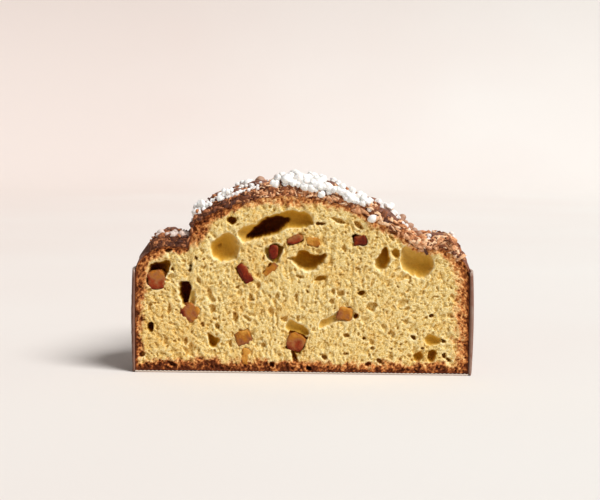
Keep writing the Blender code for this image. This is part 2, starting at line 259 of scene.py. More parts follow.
def newGroup(name, inputs, outputs):
    tree = bpy.data.node_groups.new(name, "ShaderNodeTree")
    for label, kind, value in inputs:
        socket = tree.interface.new_socket(label, in_out="INPUT", socket_type="NodeSocket" + kind)
        if value is not None:
            socket.default_value = value
    for label, kind in outputs:
        tree.interface.new_socket(label, in_out="OUTPUT", socket_type="NodeSocket" + kind)
    return tree, tree.nodes.new("NodeGroupInput").outputs, tree.nodes.new("NodeGroupOutput").inputs


def useGroup(tree, group, inputs):
    return addNode(tree, "Group", inputs, node_tree=group).outputs


def grainGroup():
    # tiny bubbles and specks, for crumb, crust, glaze, almonds, peel and sugar
    tree, given, result = newGroup(
        "bakedGrain",
        [("Vector", "Vector", None), ("Scale", "Float", 900.0), ("Roughen", "Float", 0.5)],
        [("Speck", "Float"), ("Height", "Float")],
    )
    same = {"Vector": given["Vector"], "Scale": given["Scale"]}
    bubbles = addNode(tree, "TexVoronoi", same)
    wide = addNode(tree, "TexNoise", {**same, "Detail": 4.0, "Roughness": 0.65})
    low = addMath(tree, "SUBTRACT", wide.outputs["Fac"], 0.5)
    lumpy = addMath(tree, "MULTIPLY", low, given["Roughen"])
    speck = addMath(tree, "ADD", bubbles.outputs["Distance"], lumpy, clamp=True)
    tree.links.new(speck, result["Speck"])
    tree.links.new(speck, result["Height"])
    return tree


def toastGroup():
    # the colours of dough from barely baked to dark crust
    tree, given, result = newGroup("toastColours", [("Bake", "Float", 0.5)], [("Color", "Color")])
    stops = (
        (0.00, (0.94, 0.63, 0.29)),
        (0.22, (0.80, 0.38, 0.125)),
        (0.48, (0.55, 0.190, 0.050)),
        (0.74, (0.24, 0.062, 0.015)),
        (1.00, (0.085, 0.018, 0.005)),
    )
    tree.links.new(addRamp(tree, given["Bake"], stops), result["Color"])
    return tree


bakedGrain = grainGroup()
toastColours = toastGroup()


# the cut face: a relief of sponge, pores and pockets, in metres
crumb = {
    "columns": 440,
    "rows": 224,
    "cell": 0.00022,                        # the cut face comes from fields with cells this wide, this high
    "fieldHeight": 0.1160,
    "seed": 11,
    "warp": ((0.0009, 0.0060), (0.0005, 0.0022), (0.0003, 0.0010)),     # shift and width of each layer
    "fanFrom": -0.060,                      # the strands of dough fan out from this far below the table
    "fanWide": 0.110,
    "strand": (0.0009, 0.0024, 0.0007),     # width, length and depth of the finest mesh
    "strandShare": 0.75,                    # the mesh is strands and grain
    "grainShare": 0.55,
    "grainWidth": 0.0006,
    "sponge": (0.0024, 0.0050, 0.0010),
    "spongeStrands": 0.4,
    "spongeFloor": 0.20,                    # only what is deeper than this shows
    "tiny": (5200, 0.0008, 0.0018, 0.62),   # how many, smallest, largest, depth as a share of size
    "small": (520, 0.0016, 0.0032, 0.38),
    "middle": (44, 0.0032, 0.0056, 0.26),
    "longest": 2.3,
    "unevenDepth": (0.25, 1.6),
    "poreStray": 24,                        # how far the pores turn from the fan, in degrees
    "flatFrom": 0.060,                      # above this they turn to lie flat, more and more
    "flatWithin": 0.030,
    "rim": 0.0008,                          # the width of a painted highlight, a pale rim round a pocket
    "fullShadeDepth": 0.008,                     # a plain pocket of this depth has the darkest painted shade
    "crispShare": 0.65,                     # this share of a pocket's tone and painted shade begins at once, the rest further in
    "crispWithin": 0.0008,
    "softWithin": 0.45,
    "skinFrom": 0.0012,                     # deeper pockets have a skin, with this share of the relief
    "skinRelief": 0.16,
    "seatDepth": 0.40,                      # the hole round a piece of peel, as a share of the peel's depth
    # painted shade inside the gap round a piece of peel
    "seatShade": 0.80,
    "syrupReach": 0.0012,
    "edgeFade": 0.0010,
    "pitFrom": 0.34,                        # painted shade of the sponge: what its bubbles (darker), pocket rims (paler, a painted highlight) and specks do to it
    "bubbleShade": 0.66,
    "bubbleDepth": 0.0020,
    "rimHighlight": 0.30,
    "pitMottle": ((0.14, 0.0006),),
    "speckLayers": ((1.0, 0.0008), (0.5, 0.0016)),
    "speckShade": 0.30,
    "tintLayers": ((0.6, 0.0100), (0.4, 0.0035)),
    "lowLeft": (0.040, 0.030, 0.048, 0.020, 0.45),      # yellower left of this, fading in, below this, share
}

# the pockets with a form of their own: outline in millimetres across and up, depth, tone from pale amber to
# dark, mostly painted shade, and how much darker in painted shade the right side and the top are
openings = (
    (((-37.4, 84.4), (-34.5, 77.2), (-27.6, 79.3), (-17.7, 82.4), (-9.8, 85.2), (2.0, 87.1), (7.1, 89.5),
      (3.9, 94.7), (-1.9, 96.2), (-12.6, 96.2), (-23.2, 92.3), (-28.3, 88.8), (-33.5, 87.1)),
     0.0070, 0.40, 0.15, 0.20),
    (((-34.0, 79.2), (-29.6, 79.2), (-19.8, 82.1), (-11.9, 86.0), (-6.1, 91.0), (-10.5, 93.1), (-15.4, 94.1),
      (-20.8, 92.4), (-25.7, 89.5), (-30.1, 85.6), (-33.3, 82.1)), 0.0190, 0.90, -0.10, 0.06),
    (((-54.3, 74.7), (-52.0, 79.8), (-46.7, 83.0), (-41.2, 83.2), (-37.8, 79.6), (-37.2, 73.4), (-40.3, 67.8),
      (-46.8, 66.6), (-52.4, 69.6)), 0.0085, 0.40, -0.35, -0.15),
    (((-22.5, 72.5), (-20.5, 75.3), (-16.9, 77.3), (-13.8, 76.9), (-10.2, 75.3), (-11.4, 72.6), (-13.0, 69.4),
      (-15.3, 66.3), (-19.7, 67.0), (-21.6, 69.4)), 0.0060, 0.48, 0.12, 0.30),
    (((-8.8, 68.2), (-4.7, 69.4), (-2.4, 72.3), (0.6, 73.8), (5.9, 72.3), (10.6, 71.4), (14.1, 71.2),
      (14.3, 68.2), (11.8, 64.7), (7.6, 62.0), (2.4, 61.2), (-1.8, 62.9), (-5.3, 65.9)),
     0.0110, 0.565, 0.26, 0.34),
    (((42.0, 64.1), (43.2, 68.8), (44.9, 72.3), (47.8, 75.3), (51.3, 74.7), (52.7, 68.2), (51.3, 64.1),
      (47.2, 61.9)), 0.0090, 0.52, 0.30, 0.30),
    (((57.0, 68.3), (58.4, 75.0), (66.0, 76.6), (73.0, 73.8), (76.8, 68.8), (78.0, 64.1), (73.8, 58.5),
      (68.7, 57.0), (61.2, 60.8), (57.8, 64.1)), 0.0085, 0.325, 0.10, -0.28),
    (((-92.1, 54.0), (-92.0, 59.0), (-89.9, 63.8), (-86.5, 66.0), (-83.1, 66.0), (-78.6, 66.4), (-77.1, 64.9),
      (-78.6, 61.0), (-80.5, 57.0), (-81.6, 50.5), (-88.0, 50.0)), 0.0100, 0.85, -0.45, 0.10),
    (((-72.3, 53.8), (-69.5, 54.6), (-66.5, 53.2), (-65.4, 49.0), (-66.7, 44.5), (-68.0, 40.6), (-70.6, 40.4),
      (-72.0, 45.0), (-72.4, 49.5)), 0.0120, 1.00, 0.0, 0.0),
    (((-66.6, 46.5), (-64.8, 50.0), (-63.5, 46.0), (-62.6, 41.5), (-65.5, 40.5), (-67.2, 42.0)),
     0.0040, 0.22, 0.0, 0.0),
    (((-56.2, 24.7), (-52.9, 22.6), (-48.8, 21.2), (-49.4, 18.2), (-53.2, 14.9), (-55.0, 18.2)),
     0.0060, 0.58, -0.35, -0.25),
    (((28.5, 81.5), (31.5, 83.6), (34.3, 82.4), (37.5, 82.0), (38.8, 79.6), (38.2, 76.8), (34.8, 76.6),
      (31.6, 77.6)), 0.0070, 0.97, 0.0, 0.0),
    (((10.3, 27.0), (11.6, 32.0), (17.0, 35.0), (22.5, 38.5), (27.6, 40.4), (30.6, 37.0), (28.5, 32.0),
      (20.0, 31.5), (14.0, 28.0)), 0.0045, 0.24, -0.10, 0.0),
    (((29.9, 34.6), (31.5, 37.3), (34.2, 36.6), (33.6, 34.2), (31.2, 33.0)), 0.0050, 0.80, 0.0, 0.0),
    (((-9.6, 26.4), (-7.1, 32.4), (-1.5, 30.0), (4.0, 26.0), (2.0, 22.5), (-4.0, 24.5)),
     0.0040, 0.36, 0.20, -0.20),
    (((-6.2, 13.6), (-3.6, 13.4), (-1.6, 9.0), (-2.4, 6.0), (-4.6, 6.4), (-5.6, 10.0)),
     0.0050, 0.82, 0.0, 0.0),
)

# the smaller ones are stretched bubbles: across, up, width, height, depth, tilt in degrees
pockets = (
    (0.0551, 0.0720, 0.0036, 0.0066, 0.0040, 0),
    (-0.0417, 0.0905, 0.0047, 0.0047, 0.0065, 0),
    (-0.0894, 0.0276, 0.0040, 0.0070, 0.0080, -20),
    (0.0110, 0.0570, 0.0076, 0.0042, 0.0040, 20),
    (0.0356, 0.0489, 0.0042, 0.0036, 0.0050, 30),
    (0.0693, 0.0112, 0.0053, 0.0065, 0.0045, 0),
    (0.0769, 0.0115, 0.0059, 0.0076, 0.0055, 0),
    (0.0776, 0.0212, 0.0106, 0.0066, 0.0035, -10),
)

# pores too shallow for the solids: across, up, width, height, depth, tilt, all in millimetres and degrees
knownPores = (
    (-1.5, 57.6, 6.5, 3.0, 2.2, 0), (23.2, 47.9, 5.3, 4.0, 2.6, 0), (18.2, 48.8, 3.0, 4.7, 2.0, 0),
    (18.2, 42.9, 3.5, 3.5, 2.2, 0), (41.2, 40.6, 5.3, 5.3, 2.6, 0), (84.7, 11.8, 3.5, 3.5, 4.0, 0),
    (87.0, 9.4, 2.6, 2.6, 4.0, 0), (-95.0, 10.8, 3.0, 4.7, 4.0, 0), (-54.0, 46.5, 3.5, 10.0, 2.4, 18),
    (-53.0, 38.0, 4.0, 6.0, 2.4, 10), (-39.4, 33.5, 3.5, 6.5, 2.6, 8), (-58.8, 28.8, 3.0, 3.5, 2.4, 0),
    (-49.7, 27.6, 3.5, 3.5, 2.6, 0), (-81.3, 19.4, 3.0, 7.0, 1.8, -10), (-65.3, 14.7, 3.5, 6.0, 2.2, 0),
    (-68.2, 18.8, 2.4, 4.7, 2.4, 0), (-22.9, 16.5, 3.0, 3.5, 2.4, 0), (-17.6, 36.5, 3.5, 5.3, 2.2, 14),
    (-42.6, 18.2, 2.4, 4.7, 2.4, 10), (-9.6, 32.6, 4.4, 4.4, 2.2, 0), (-2.8, 33.4, 2.6, 4.6, 2.2, 0),
    (26.8, 23.4, 4.0, 3.2, 3.4, 0), (36.6, 21.6, 3.6, 2.4, 3.2, 0), (65.6, 22.6, 2.4, 2.4, 4.2, 0),
    (71.4, 16.5, 2.4, 2.4, 2.8, 0), (42.3, 15.9, 2.6, 2.2, 2.6, 20), (25.9, 12.3, 3.0, 2.4, 2.4, 0),
    (76.3, 35.3, 2.6, 2.2, 3.8, 0), (11.0, 89.4, 5.2, 1.8, 4.4, -6), (21.2, 91.2, 9.0, 3.0, 3.0, -22),
    (33.6, 88.2, 7.6, 3.2, 3.6, -34), (-66.4, 63.5, 2.0, 2.0, 3.6, 0), (-66.9, 61.4, 1.9, 1.9, 4.6, 0),
    (-62.3, 68.2, 2.4, 3.0, 3.4, 30), (-79.0, 73.0, 5.0, 2.0, 3.4, 4), (-76.8, 61.6, 2.2, 2.4, 4.0, 0),
    (-77.4, 57.0, 4.2, 3.6, 1.8, 0), (-49.3, 76.4, 2.4, 2.6, 11.0, 0), (-37.9, 51.6, 2.4, 2.4, 2.4, 0),
    (59.9, 42.9, 5.0, 4.0, 2.0, 30), (52.3, 11.2, 3.5, 4.5, 1.8, 0), (83.0, 20.6, 3.6, 3.2, 4.4, -30),
    (47.0, 62.3, 3.0, 3.0, 2.2, 0), (61.7, 58.2, 5.4, 3.0, 2.0, 24), (33.0, 63.0, 4.0, 2.4, 2.0, -20),
    (25.0, 75.0, 4.0, 2.4, 2.2, -30), (-30.0, 45.0, 2.6, 5.0, 2.4, 20), (-26.0, 53.0, 3.0, 4.4, 2.0, 24),
    (-61.0, 55.0, 3.0, 5.0, 2.0, 15), (-3.0, 45.5, 2.4, 4.0, 2.0, 6), (49.0, 28.5, 2.6, 2.6, 2.0, 0),
    (-90.0, 40.0, 2.4, 5.0, 1.8, 0), (-79.0, 38.0, 3.0, 8.0, 2.4, -6), (-15.0, 46.0, 2.6, 5.0, 2.0, 10),
    (-17.8, 5.2, 3.4, 3.4, 4.4, 0), (13.5, 10.5, 3.4, 3.4, 4.0, 0), (46.5, 8.0, 3.0, 3.4, 3.6, 0),
    (4.0, 3.4, 3.4, 3.4, 4.4, 0), (40.0, 6.0, 4.4, 3.0, 3.6, 20), (-77.0, 5.5, 4.0, 3.0, 2.6, 0),
)

# across, up, width, height, depth, tilt in degrees, redness, darkness, and the gap round it
peels = (
    (-0.0860, 0.0552, 0.0102, 0.0104, 0.0075, 12, 0.62, 0.08, -0.0009),
    (-0.0660, 0.0358, 0.0102, 0.0096, 0.0080, -38, 0.48, 0.10, -0.0006),
    (-0.0347, 0.0218, 0.0096, 0.0086, 0.0075, 24, 0.36, 0.24, -0.0005),
    (-0.0035, 0.0188, 0.0100, 0.0104, 0.0080, -20, 0.56, 0.16, 0.0003),
    (-0.0340, 0.0594, 0.0128, 0.0056, 0.0060, -56, 0.86, 0.20, -0.0002),
    (-0.0168, 0.0722, 0.0050, 0.0078, 0.0060, -12, 1.00, 0.30, -0.0002),
    (-0.0190, 0.0622, 0.0098, 0.0040, 0.0050, 42, 0.30, 0.05, -0.0004),
    (-0.0042, 0.0800, 0.0096, 0.0044, 0.0050, 18, 0.58, 0.16, -0.0002),
    (0.0068, 0.0785, 0.0078, 0.0056, 0.0055, -8, 0.10, 0.00, -0.0005),
    (0.0345, 0.0795, 0.0078, 0.0058, 0.0050, 6, 0.97, 0.50, -0.0003),
    (0.0256, 0.0359, 0.0084, 0.0074, 0.0060, -14, 0.30, 0.00, -0.0007),
    (-0.0332, 0.0105, 0.0040, 0.0096, 0.0040, -4, 0.06, 0.04, -0.0005),
)

# where pale crumb turns to crust under the top, from the left: across and up, in millimetres
crustLine = (
    (-99.0, 50.0), (-93.6, 55.2), (-89.9, 65.8), (-80.1, 69.5), (-74.9, 74.2), (-61.4, 76.1), (-58.0, 80.3),
    (-53.2, 88.6), (-40.2, 96.5), (-30.6, 99.0), (-21.1, 100.2), (-4.2, 99.2), (7.1, 99.6), (17.6, 98.9),
    (29.2, 96.5), (37.3, 89.9), (47.8, 84.5), (54.7, 81.2), (64.6, 79.2), (74.5, 77.2), (80.3, 72.8),
    (86.1, 66.5), (90.8, 58.4), (99.0, 50.0),
)
crustBand = {
    "left": 0.0040,
    "right": 0.0080,
    "bottom": 0.0062,
    "thinnestTop": 0.0034,
    "wideFrom": 0.043,                      # the left band widens above this, within this, by this share
    "wideWithin": 0.010,
    "wideBy": 0.6,
    "ragged": 0.0013,                       # how uneven the bands are, in layers, and its share on each side
    "raggedLayers": ((1.0, 0.0060), (0.8, 0.0021), (0.6, 0.0009)),
    "raggedLeft": 1.4,
    "raggedRight": 1.8,
    "raggedBottom": 1.5,
    "crag": 0.0009,
    "cragLayers": ((1.0, 0.0021), (0.7, 0.0010)),
    "toast": 0.17,                          # how brown it is to begin with, and how that varies
    "toastLayers": ((0.26, 0.0012), (0.27, 0.0006), (0.20, 0.0035)),
    "toastInward": 0.38,
    "toastLeft": (0.025, 0.03, 0.20),       # browner left of this, fading in, and how much
    "toastBottom": 0.42,
    "paleTop": (-0.016, 0.016, 0.16),       # paler under the top here, as wide as this, and how much
    "sideRim": (0.0016, 0.064, 0.004, 0.34),    # a brown rim this wide, below this, fading in, and how much
}


def softNoise(rng, a, b):
    # smooth chance from -1 to 1 at the places (a, b), with lumps one unit wide
    a, b = a - a.min(), b - b.min()
    knots = rng.uniform(-1, 1, (int(a.max()) + 3, int(b.max()) + 3))
    i, j = a.astype(int), b.astype(int)
    s, t = smoothStep(a - i), smoothStep(b - j)
    near = knots[i, j] * (1 - t) + knots[i, j + 1] * t
    far = knots[i + 1, j] * (1 - t) + knots[i + 1, j + 1] * t
    return near * (1 - s) + far * s


def blurred(field, reach):
    # a box blur, twice, over 2 * reach + 1 cells
    for axis in (0, 1, 0, 1):
        wide = [(reach + 1, reach) if a == axis else (0, 0) for a in (0, 1)]
        total = np.cumsum(np.pad(field, wide, mode="edge"), axis=axis)
        size = field.shape[axis]
        ahead = np.take(total, np.arange(2 * reach + 1, 2 * reach + 1 + size), axis=axis)
        behind = np.take(total, np.arange(size), axis=axis)
        field = (ahead - behind) / (2 * reach + 1)
    return field


def windowRound(low, high, shape):
    # the rows and columns of the fields that cover a box on the cut
    cell = crumb["cell"]
    first, last = ((corner + np.array([halfCut, 0.0])) / cell for corner in (np.array(low), np.array(high)))
    columns = slice(max(int(first[0]), 0), min(max(int(last[0]) + 2, 1), shape[1]))
    rows = slice(max(int(first[1]), 0), min(max(int(last[1]) + 2, 1), shape[0]))
    return rows, columns


def stampPore(depth, places, pore, steep=1.5):
    # sinks one bubble into the field of depths
    x, z, width, height, deep, tilt = pore
    reach = max(width, height) / 2 + 0.0016
    window = windowRound((x - reach, z - reach), (x + reach, z + reach), depth.shape)
    dx, dz = places[0][window] - x, places[1][window] - z
    turn = math.radians(tilt)
    across = (dx * math.cos(turn) + dz * math.sin(turn)) / (width / 2)
    up = (-dx * math.sin(turn) + dz * math.cos(turn)) / (height / 2)
    inside = np.clip(1 - (across**2 + up**2) ** steep, 0, 1)
    depth[window] = np.maximum(depth[window], deep * np.sqrt(inside))


def insideOutline(x, z, curve):
    # how far inside a closed outline each place lies, negative outside it
    away = np.full(x.shape, 1.0)
    within = np.zeros(x.shape, bool)
    for (ax, az), (bx, bz) in zip(curve[:-1], curve[1:]):
        dx, dz = bx - ax, bz - az
        t = np.clip(((x - ax) * dx + (z - az) * dz) / (dx * dx + dz * dz), 0, 1)
        away = np.minimum(away, np.hypot(x - ax - t * dx, z - az - t * dz))
        crosses = (az > z) != (bz > z)
        within ^= crosses & (x < ax + (z - az) * dx / (dz if abs(dz) > 1e-12 else 1e-12))
    return np.where(within, away, -away)


def stampOpening(fields, places, opening):
    points, deep, shade, shadeRight, shadeUp = opening
    loop = [np.array(point) / 1000 for point in points]
    curve = splineThrough([loop[-1], *loop, loop[0], loop[1]], 5)
    low, high = curve.min(axis=0), curve.max(axis=0)
    window = windowRound(low - 0.004, high + 0.004, places[0].shape)
    x, z = places[0][window], places[1][window]
    inside = insideOutline(x, z, curve)
    share = np.clip(inside / inside.max(), 0, 1)
    middle, half = (low + high) / 2, (high - low) / 2
    # painted shade: darker further into the pocket and towards the side that the table gives
    lean = 1 + shadeRight * (x - middle[0]) / half[0] + shadeUp * (z - middle[1]) / half[1]
    crisp = crumb["crispShare"] * smoothStep(inside / crumb["crispWithin"])
    crisp += (1 - crumb["crispShare"]) * smoothStep(share / crumb["softWithin"])
    hollowShade = shade * crisp * np.clip(lean, 0.3, 1.8)
    fields["pocket"][window] = np.maximum(fields["pocket"][window], deep * np.sqrt(1 - (1 - share) ** 2))
    fields["hollowShade"][window] = np.maximum(fields["hollowShade"][window], hollowShade)
    # painted highlight: a pale rim round the pocket
    fields["rim"][window] = np.maximum(fields["rim"][window], np.exp(-((inside / crumb["rim"]) ** 2)))


def spongeField(rng, places, chance):
    # the mesh of strands, with bubbles of every size in it
    above = places[1] - crumb["fanFrom"]
    around, along = np.arctan2(places[0], above) * crumb["fanWide"], np.hypot(places[0], above)
    width, length, deep = crumb["strand"]
    strands = softNoise(rng, around / width, along / length)
    grain = crumb["grainShare"] * chance(crumb["grainWidth"])
    fine = deep * np.clip(crumb["strandShare"] * strands + grain, 0, 1)
    width, length, deep = crumb["sponge"]
    holes = softNoise(rng, around / width, along / length) + crumb["spongeStrands"] * strands
    fine += deep * np.clip(holes - crumb["spongeFloor"], 0, 1)
    pores = np.zeros(fine.shape)
    for *sizes, tilt in knownPores:
        stampPore(pores, places, (*(size / 1000 for size in sizes), tilt), steep=1.6)
    for group in ("middle", "small", "tiny"):
        count, smallest, largest, share = crumb[group]
        for x, z in zip(rng.uniform(-halfCut, halfCut, count), rng.uniform(0.0, 0.110, count)):
            size = smallest * (largest / smallest) ** rng.random() ** 1.3
            longer = 1 + (crumb["longest"] - 1) * rng.random() ** 1.8
            fan = math.degrees(math.atan2(-x, z - crumb["fanFrom"]))
            flat = 90 * float(smoothStep((z - crumb["flatFrom"]) / crumb["flatWithin"])) * rng.random()
            tilt = fan + flat + rng.normal(0, crumb["poreStray"])
            deep = size * share * rng.uniform(*crumb["unevenDepth"])
            stampPore(pores, places, (x, z, size / longer**0.4, size * longer**0.6, deep, tilt))
    return np.maximum(fine, pores) + 0.3 * np.minimum(fine, pores)


def peelSeats(fields, places):
    # the holes that the pieces of peel sit in, darkened inside as painted shade, and moist with syrup round
    # them
    seat, syrup = np.zeros(places[0].shape), np.zeros(places[0].shape)
    for x, z, width, height, deep, tilt, _, _, gap in peels:
        turn = math.radians(tilt)
        dx, dz = places[0] - x, places[1] - z
        a = np.abs(dx * math.cos(turn) + dz * math.sin(turn)) - width / 2
        b = np.abs(-dx * math.sin(turn) + dz * math.cos(turn)) - height / 2
        outside = np.maximum(a, b) - gap
        seat = np.maximum(seat, crumb["seatDepth"] * deep * smoothStep(0.5 - outside / 0.0006))
        fields["hollowShade"] = np.maximum(fields["hollowShade"], crumb["seatShade"] * smoothStep(0.4 - outside / 0.0005))
        syrup = np.maximum(syrup, np.exp(-np.maximum(outside, 0) / crumb["syrupReach"]))
    return seat, syrup


def crustFields(acrossCut, up, topLine, layered):
    # how far into the crust each place is, above 0, and how brown
    band = crustBand
    line = np.array(crustLine) / 1000
    ragged = band["ragged"] * layered(band["raggedLayers"])
    crumbTop = np.minimum(np.interp(acrossCut, line[:, 0], line[:, 1]), topLine - band["thinnestTop"])
    intoTop = (up - crumbTop + ragged) / np.maximum(topLine - crumbTop, 0.001)
    wider = 1 + band["wideBy"] * smoothStep((up - band["wideFrom"]) / band["wideWithin"])
    intoLeft = 1 - (acrossCut + halfCut + band["raggedLeft"] * ragged) / (band["left"] * wider)
    intoRight = 1 - (halfCut - acrossCut + band["raggedRight"] * ragged) / band["right"]
    intoBottom = 1 - (up - cakeFloor + band["raggedBottom"] * ragged) / band["bottom"]
    bake = np.maximum.reduce([intoTop, intoLeft, intoRight, intoBottom])
    leftFrom, leftWithin, leftShare = band["toastLeft"]
    darker = leftShare * smoothStep((-acrossCut - leftFrom) / leftWithin)
    darker += band["toastBottom"] * np.clip(intoBottom, 0, 1)
    toast = band["toast"] + darker + layered(band["toastLayers"]) + band["toastInward"] * np.clip(bake, 0, 1)
    middle, wide, share = band["paleTop"]
    toast -= share * np.exp(-(((acrossCut - middle) / wide) ** 2)) * np.clip(2 * intoTop, 0, 1)
    wide, below, within, share = band["sideRim"]
    atSide = smoothStep(1 - (halfCut - np.abs(acrossCut)) / wide)
    toast += share * atSide * smoothStep((below - up) / within)
    return bake, toast


def crumbFields():
    rng = np.random.default_rng(crumb["seed"])
    cell = crumb["cell"]
    shape = (int(crumb["fieldHeight"] / cell), int(2 * halfCut / cell) + 2)
    acrossCut, up = np.meshgrid(np.arange(shape[1]) * cell - halfCut, np.arange(shape[0]) * cell)

    def chance(width):
        return softNoise(rng, acrossCut / width, up / width)

    def layered(layers):
        return sum(share * chance(width) for share, width in layers)

    places = [plain + layered(crumb["warp"]) for plain in (acrossCut, up)]
    fine = spongeField(rng, places, chance)
    fields = {label: np.zeros(shape) for label in ("pocket", "hollowShade", "rim")}
    for pocket in pockets:
        stampPore(fields["pocket"], places, pocket, steep=1.7)
    # painted shade: the deeper a pocket, the darker
    fields["hollowShade"] = np.clip(fields["pocket"] / crumb["fullShadeDepth"], 0, 0.92)
    for opening in openings:
        stampOpening(fields, places, opening)
    seat, syrup = peelSeats(fields, places)
    calm = smoothStep(fields["pocket"] / crumb["skinFrom"])
    depth = np.maximum(fields["pocket"] + crumb["skinRelief"] * fine * calm, fine * (1 - calm))
    depth = np.maximum(depth, seat)

    topLine = crustHeight(acrossCut[0], np.zeros(shape[1]))[None, :]
    bake, toast = crustFields(acrossCut, up, topLine, layered)
    crags = crustBand["crag"] * np.clip(layered(crustBand["cragLayers"]), 0, 1)
    depth += crags * smoothStep(bake / 0.3) * (1 - calm)
    inside = np.minimum.reduce([topLine - up, up - cakeFloor, halfCut - np.abs(acrossCut)])
    depth *= smoothStep(inside / crumb["edgeFade"])

    specks = smoothStep((layered(crumb["speckLayers"]) - 0.42) / 0.30)
    # painted shade: the sponge is darker where it lies deeper than its surroundings
    bubbles = np.tanh((fine - blurred(fine, 7)) / crumb["bubbleDepth"])
    poreShadeAndSpecks = crumb["pitFrom"] + crumb["bubbleShade"] * bubbles - crumb["rimHighlight"] * fields["rim"]
    poreShadeAndSpecks = np.clip(poreShadeAndSpecks + layered(crumb["pitMottle"]) + crumb["speckShade"] * specks, 0, 1)
    leftFrom, leftWithin, lowFrom, lowWithin, share = crumb["lowLeft"]
    lowLeft = smoothStep((-acrossCut - leftFrom) / leftWithin) * smoothStep((lowFrom - up) / lowWithin)
    return {
        "depth": blurred(depth, 1) * 0.4 + depth * 0.6,
        "poreShadeAndSpecks": poreShadeAndSpecks,
        "pocket": np.clip(fields["hollowShade"], 0, 1.2),
        "bake": np.clip(bake, -0.5, 1.2),
        # the browning of the crust on the cut takes the painted shade of the pores too
        "toast": np.clip(toast + 0.8 * (poreShadeAndSpecks - 0.4), 0, 1),
        "syrup": syrup,
        "tint": layered(crumb["tintLayers"]) + share * lowLeft,
    }


def sampled(field, x, z):
    cell = crumb["cell"]
    column = np.clip((x + halfCut) / cell, 0, field.shape[1] - 1.001)
    row = np.clip(z / cell, 0, field.shape[0] - 1.001)
    i, j = row.astype(int), column.astype(int)
    s, t = row - i, column - j
    low = field[i, j] * (1 - t) + field[i, j + 1] * t
    high = field[i + 1, j] * (1 - t) + field[i + 1, j + 1] * t
    return low * (1 - s) + high * s


def crumbMaterial():
    made, tree, shader, where = newMaterial("eggCrumb", {"Roughness": 0.85, "Specular IOR Level": 0.10})
    grain = useGroup(tree, bakedGrain, {"Vector": where, "Scale": 1500.0, "Roughen": 1.5})
    mottled = addMath(tree, "MULTIPLY_ADD", grain["Speck"], 0.52, -0.25)
    # the sponge's attribute carries painted shade in its bubbles, a painted highlight at pocket rims, and
    # specks
    uneven = addMath(tree, "ADD", attributeOf(tree, "poreShadeAndSpecks"), mottled, clamp=True)
    crumbColour = addRamp(tree, uneven, (
        (0.00, (0.97, 0.82, 0.47)),
        (0.30, (0.87, 0.655, 0.275)),
        (0.55, (0.74, 0.485, 0.140)),
        (0.80, (0.51, 0.270, 0.050)),
        (1.00, (0.26, 0.105, 0.013)),
    ))
    tint = addMath(tree, "MULTIPLY", attributeOf(tree, "tint"), 0.45, clamp=True)
    crumbColour = mixColours(tree, tint, crumbColour, (0.88, 0.62, 0.22), "MULTIPLY")
    syrup = addMath(tree, "MULTIPLY", attributeOf(tree, "syrup"), 0.45)
    crumbColour = mixColours(tree, syrup, crumbColour, (0.60, 0.31, 0.060))
    pocket = attributeOf(tree, "pocket")
    # the pockets' amber colour, with painted shade that darkens deeper in
    pocketShadeColour = addRamp(tree, addMath(tree, "MULTIPLY_ADD", grain["Speck"], 0.06, pocket), (
        (0.00, (0.92, 0.72, 0.32)),
        (0.18, (0.78, 0.53, 0.150)),
        (0.38, (0.66, 0.365, 0.045)),
        (0.58, (0.44, 0.190, 0.009)),
        (0.78, (0.22, 0.064, 0.0035)),
        (1.00, (0.100, 0.013, 0.0015)),
    ))
    inPocket = addNode(tree, "MapRange", {0: pocket, 1: 0.02, 2: 0.14}).outputs[0]
    inner = mixColours(tree, inPocket, crumbColour, pocketShadeColour)
    browned = addMath(tree, "MULTIPLY_ADD", grain["Speck"], 0.30, attributeOf(tree, "toast"))
    toast = addNode(tree, "MapRange", {0: browned, 1: 0.10, 2: 1.10}).outputs[0]
    crustColour = useGroup(tree, toastColours, {"Bake": toast})["Color"]
    inCrust = addNode(tree, "MapRange", {0: attributeOf(tree, "bake"), 1: -0.22, 2: 0.26}).outputs[0]
    colour = mixColours(tree, inCrust, inner, crustColour)
    dressShader(tree, shader, colour, grain["Height"], 0.6, 0.0004)
    return made


def buildCrumb():
    columns, rows = crumb["columns"], crumb["rows"]
    fields = crumbFields()
    x = np.linspace(-halfCut, halfCut, columns + 1)
    top = crustHeight(x, np.zeros(columns + 1))
    z = cakeFloor + (top - cakeFloor)[:, None] * np.linspace(0, 1, rows + 1)[None, :]
    across = np.repeat(x[:, None], rows + 1, axis=1)
    kept = {label: sampled(field, across, z) for label, field in fields.items()}
    border = np.ones(z.shape)
    border[[0, -1], :] = 0
    border[:, [0, -1]] = 0
    points = np.stack([across, cutY + kept.pop("depth") * border, z], axis=2).reshape(-1, 3)
    faces = gridFaces(columns + 1, rows + 1)
    return meshPiece("crumb", points, faces, crumbMaterial(), ["cake"], "crumb_and_crust", **kept)


# the crust on the top and round the sides
crust = {
    "columns": 300,
    "rows": 64,
    "rowBunching": 1.6,
    "wallRows": 18,
    "wallRelief": 0.00015,
    "wallOut": 0.0002,
    "wrinkle": 0.00022,
    "bake": -0.04,                          # shade of the top, and its blotches, wide and narrow
    "wideBlotch": 0.20,
    "narrowBlotch": 0.16,
    "wallBake": (0.10, 0.30),               # from the rim down to the table
}


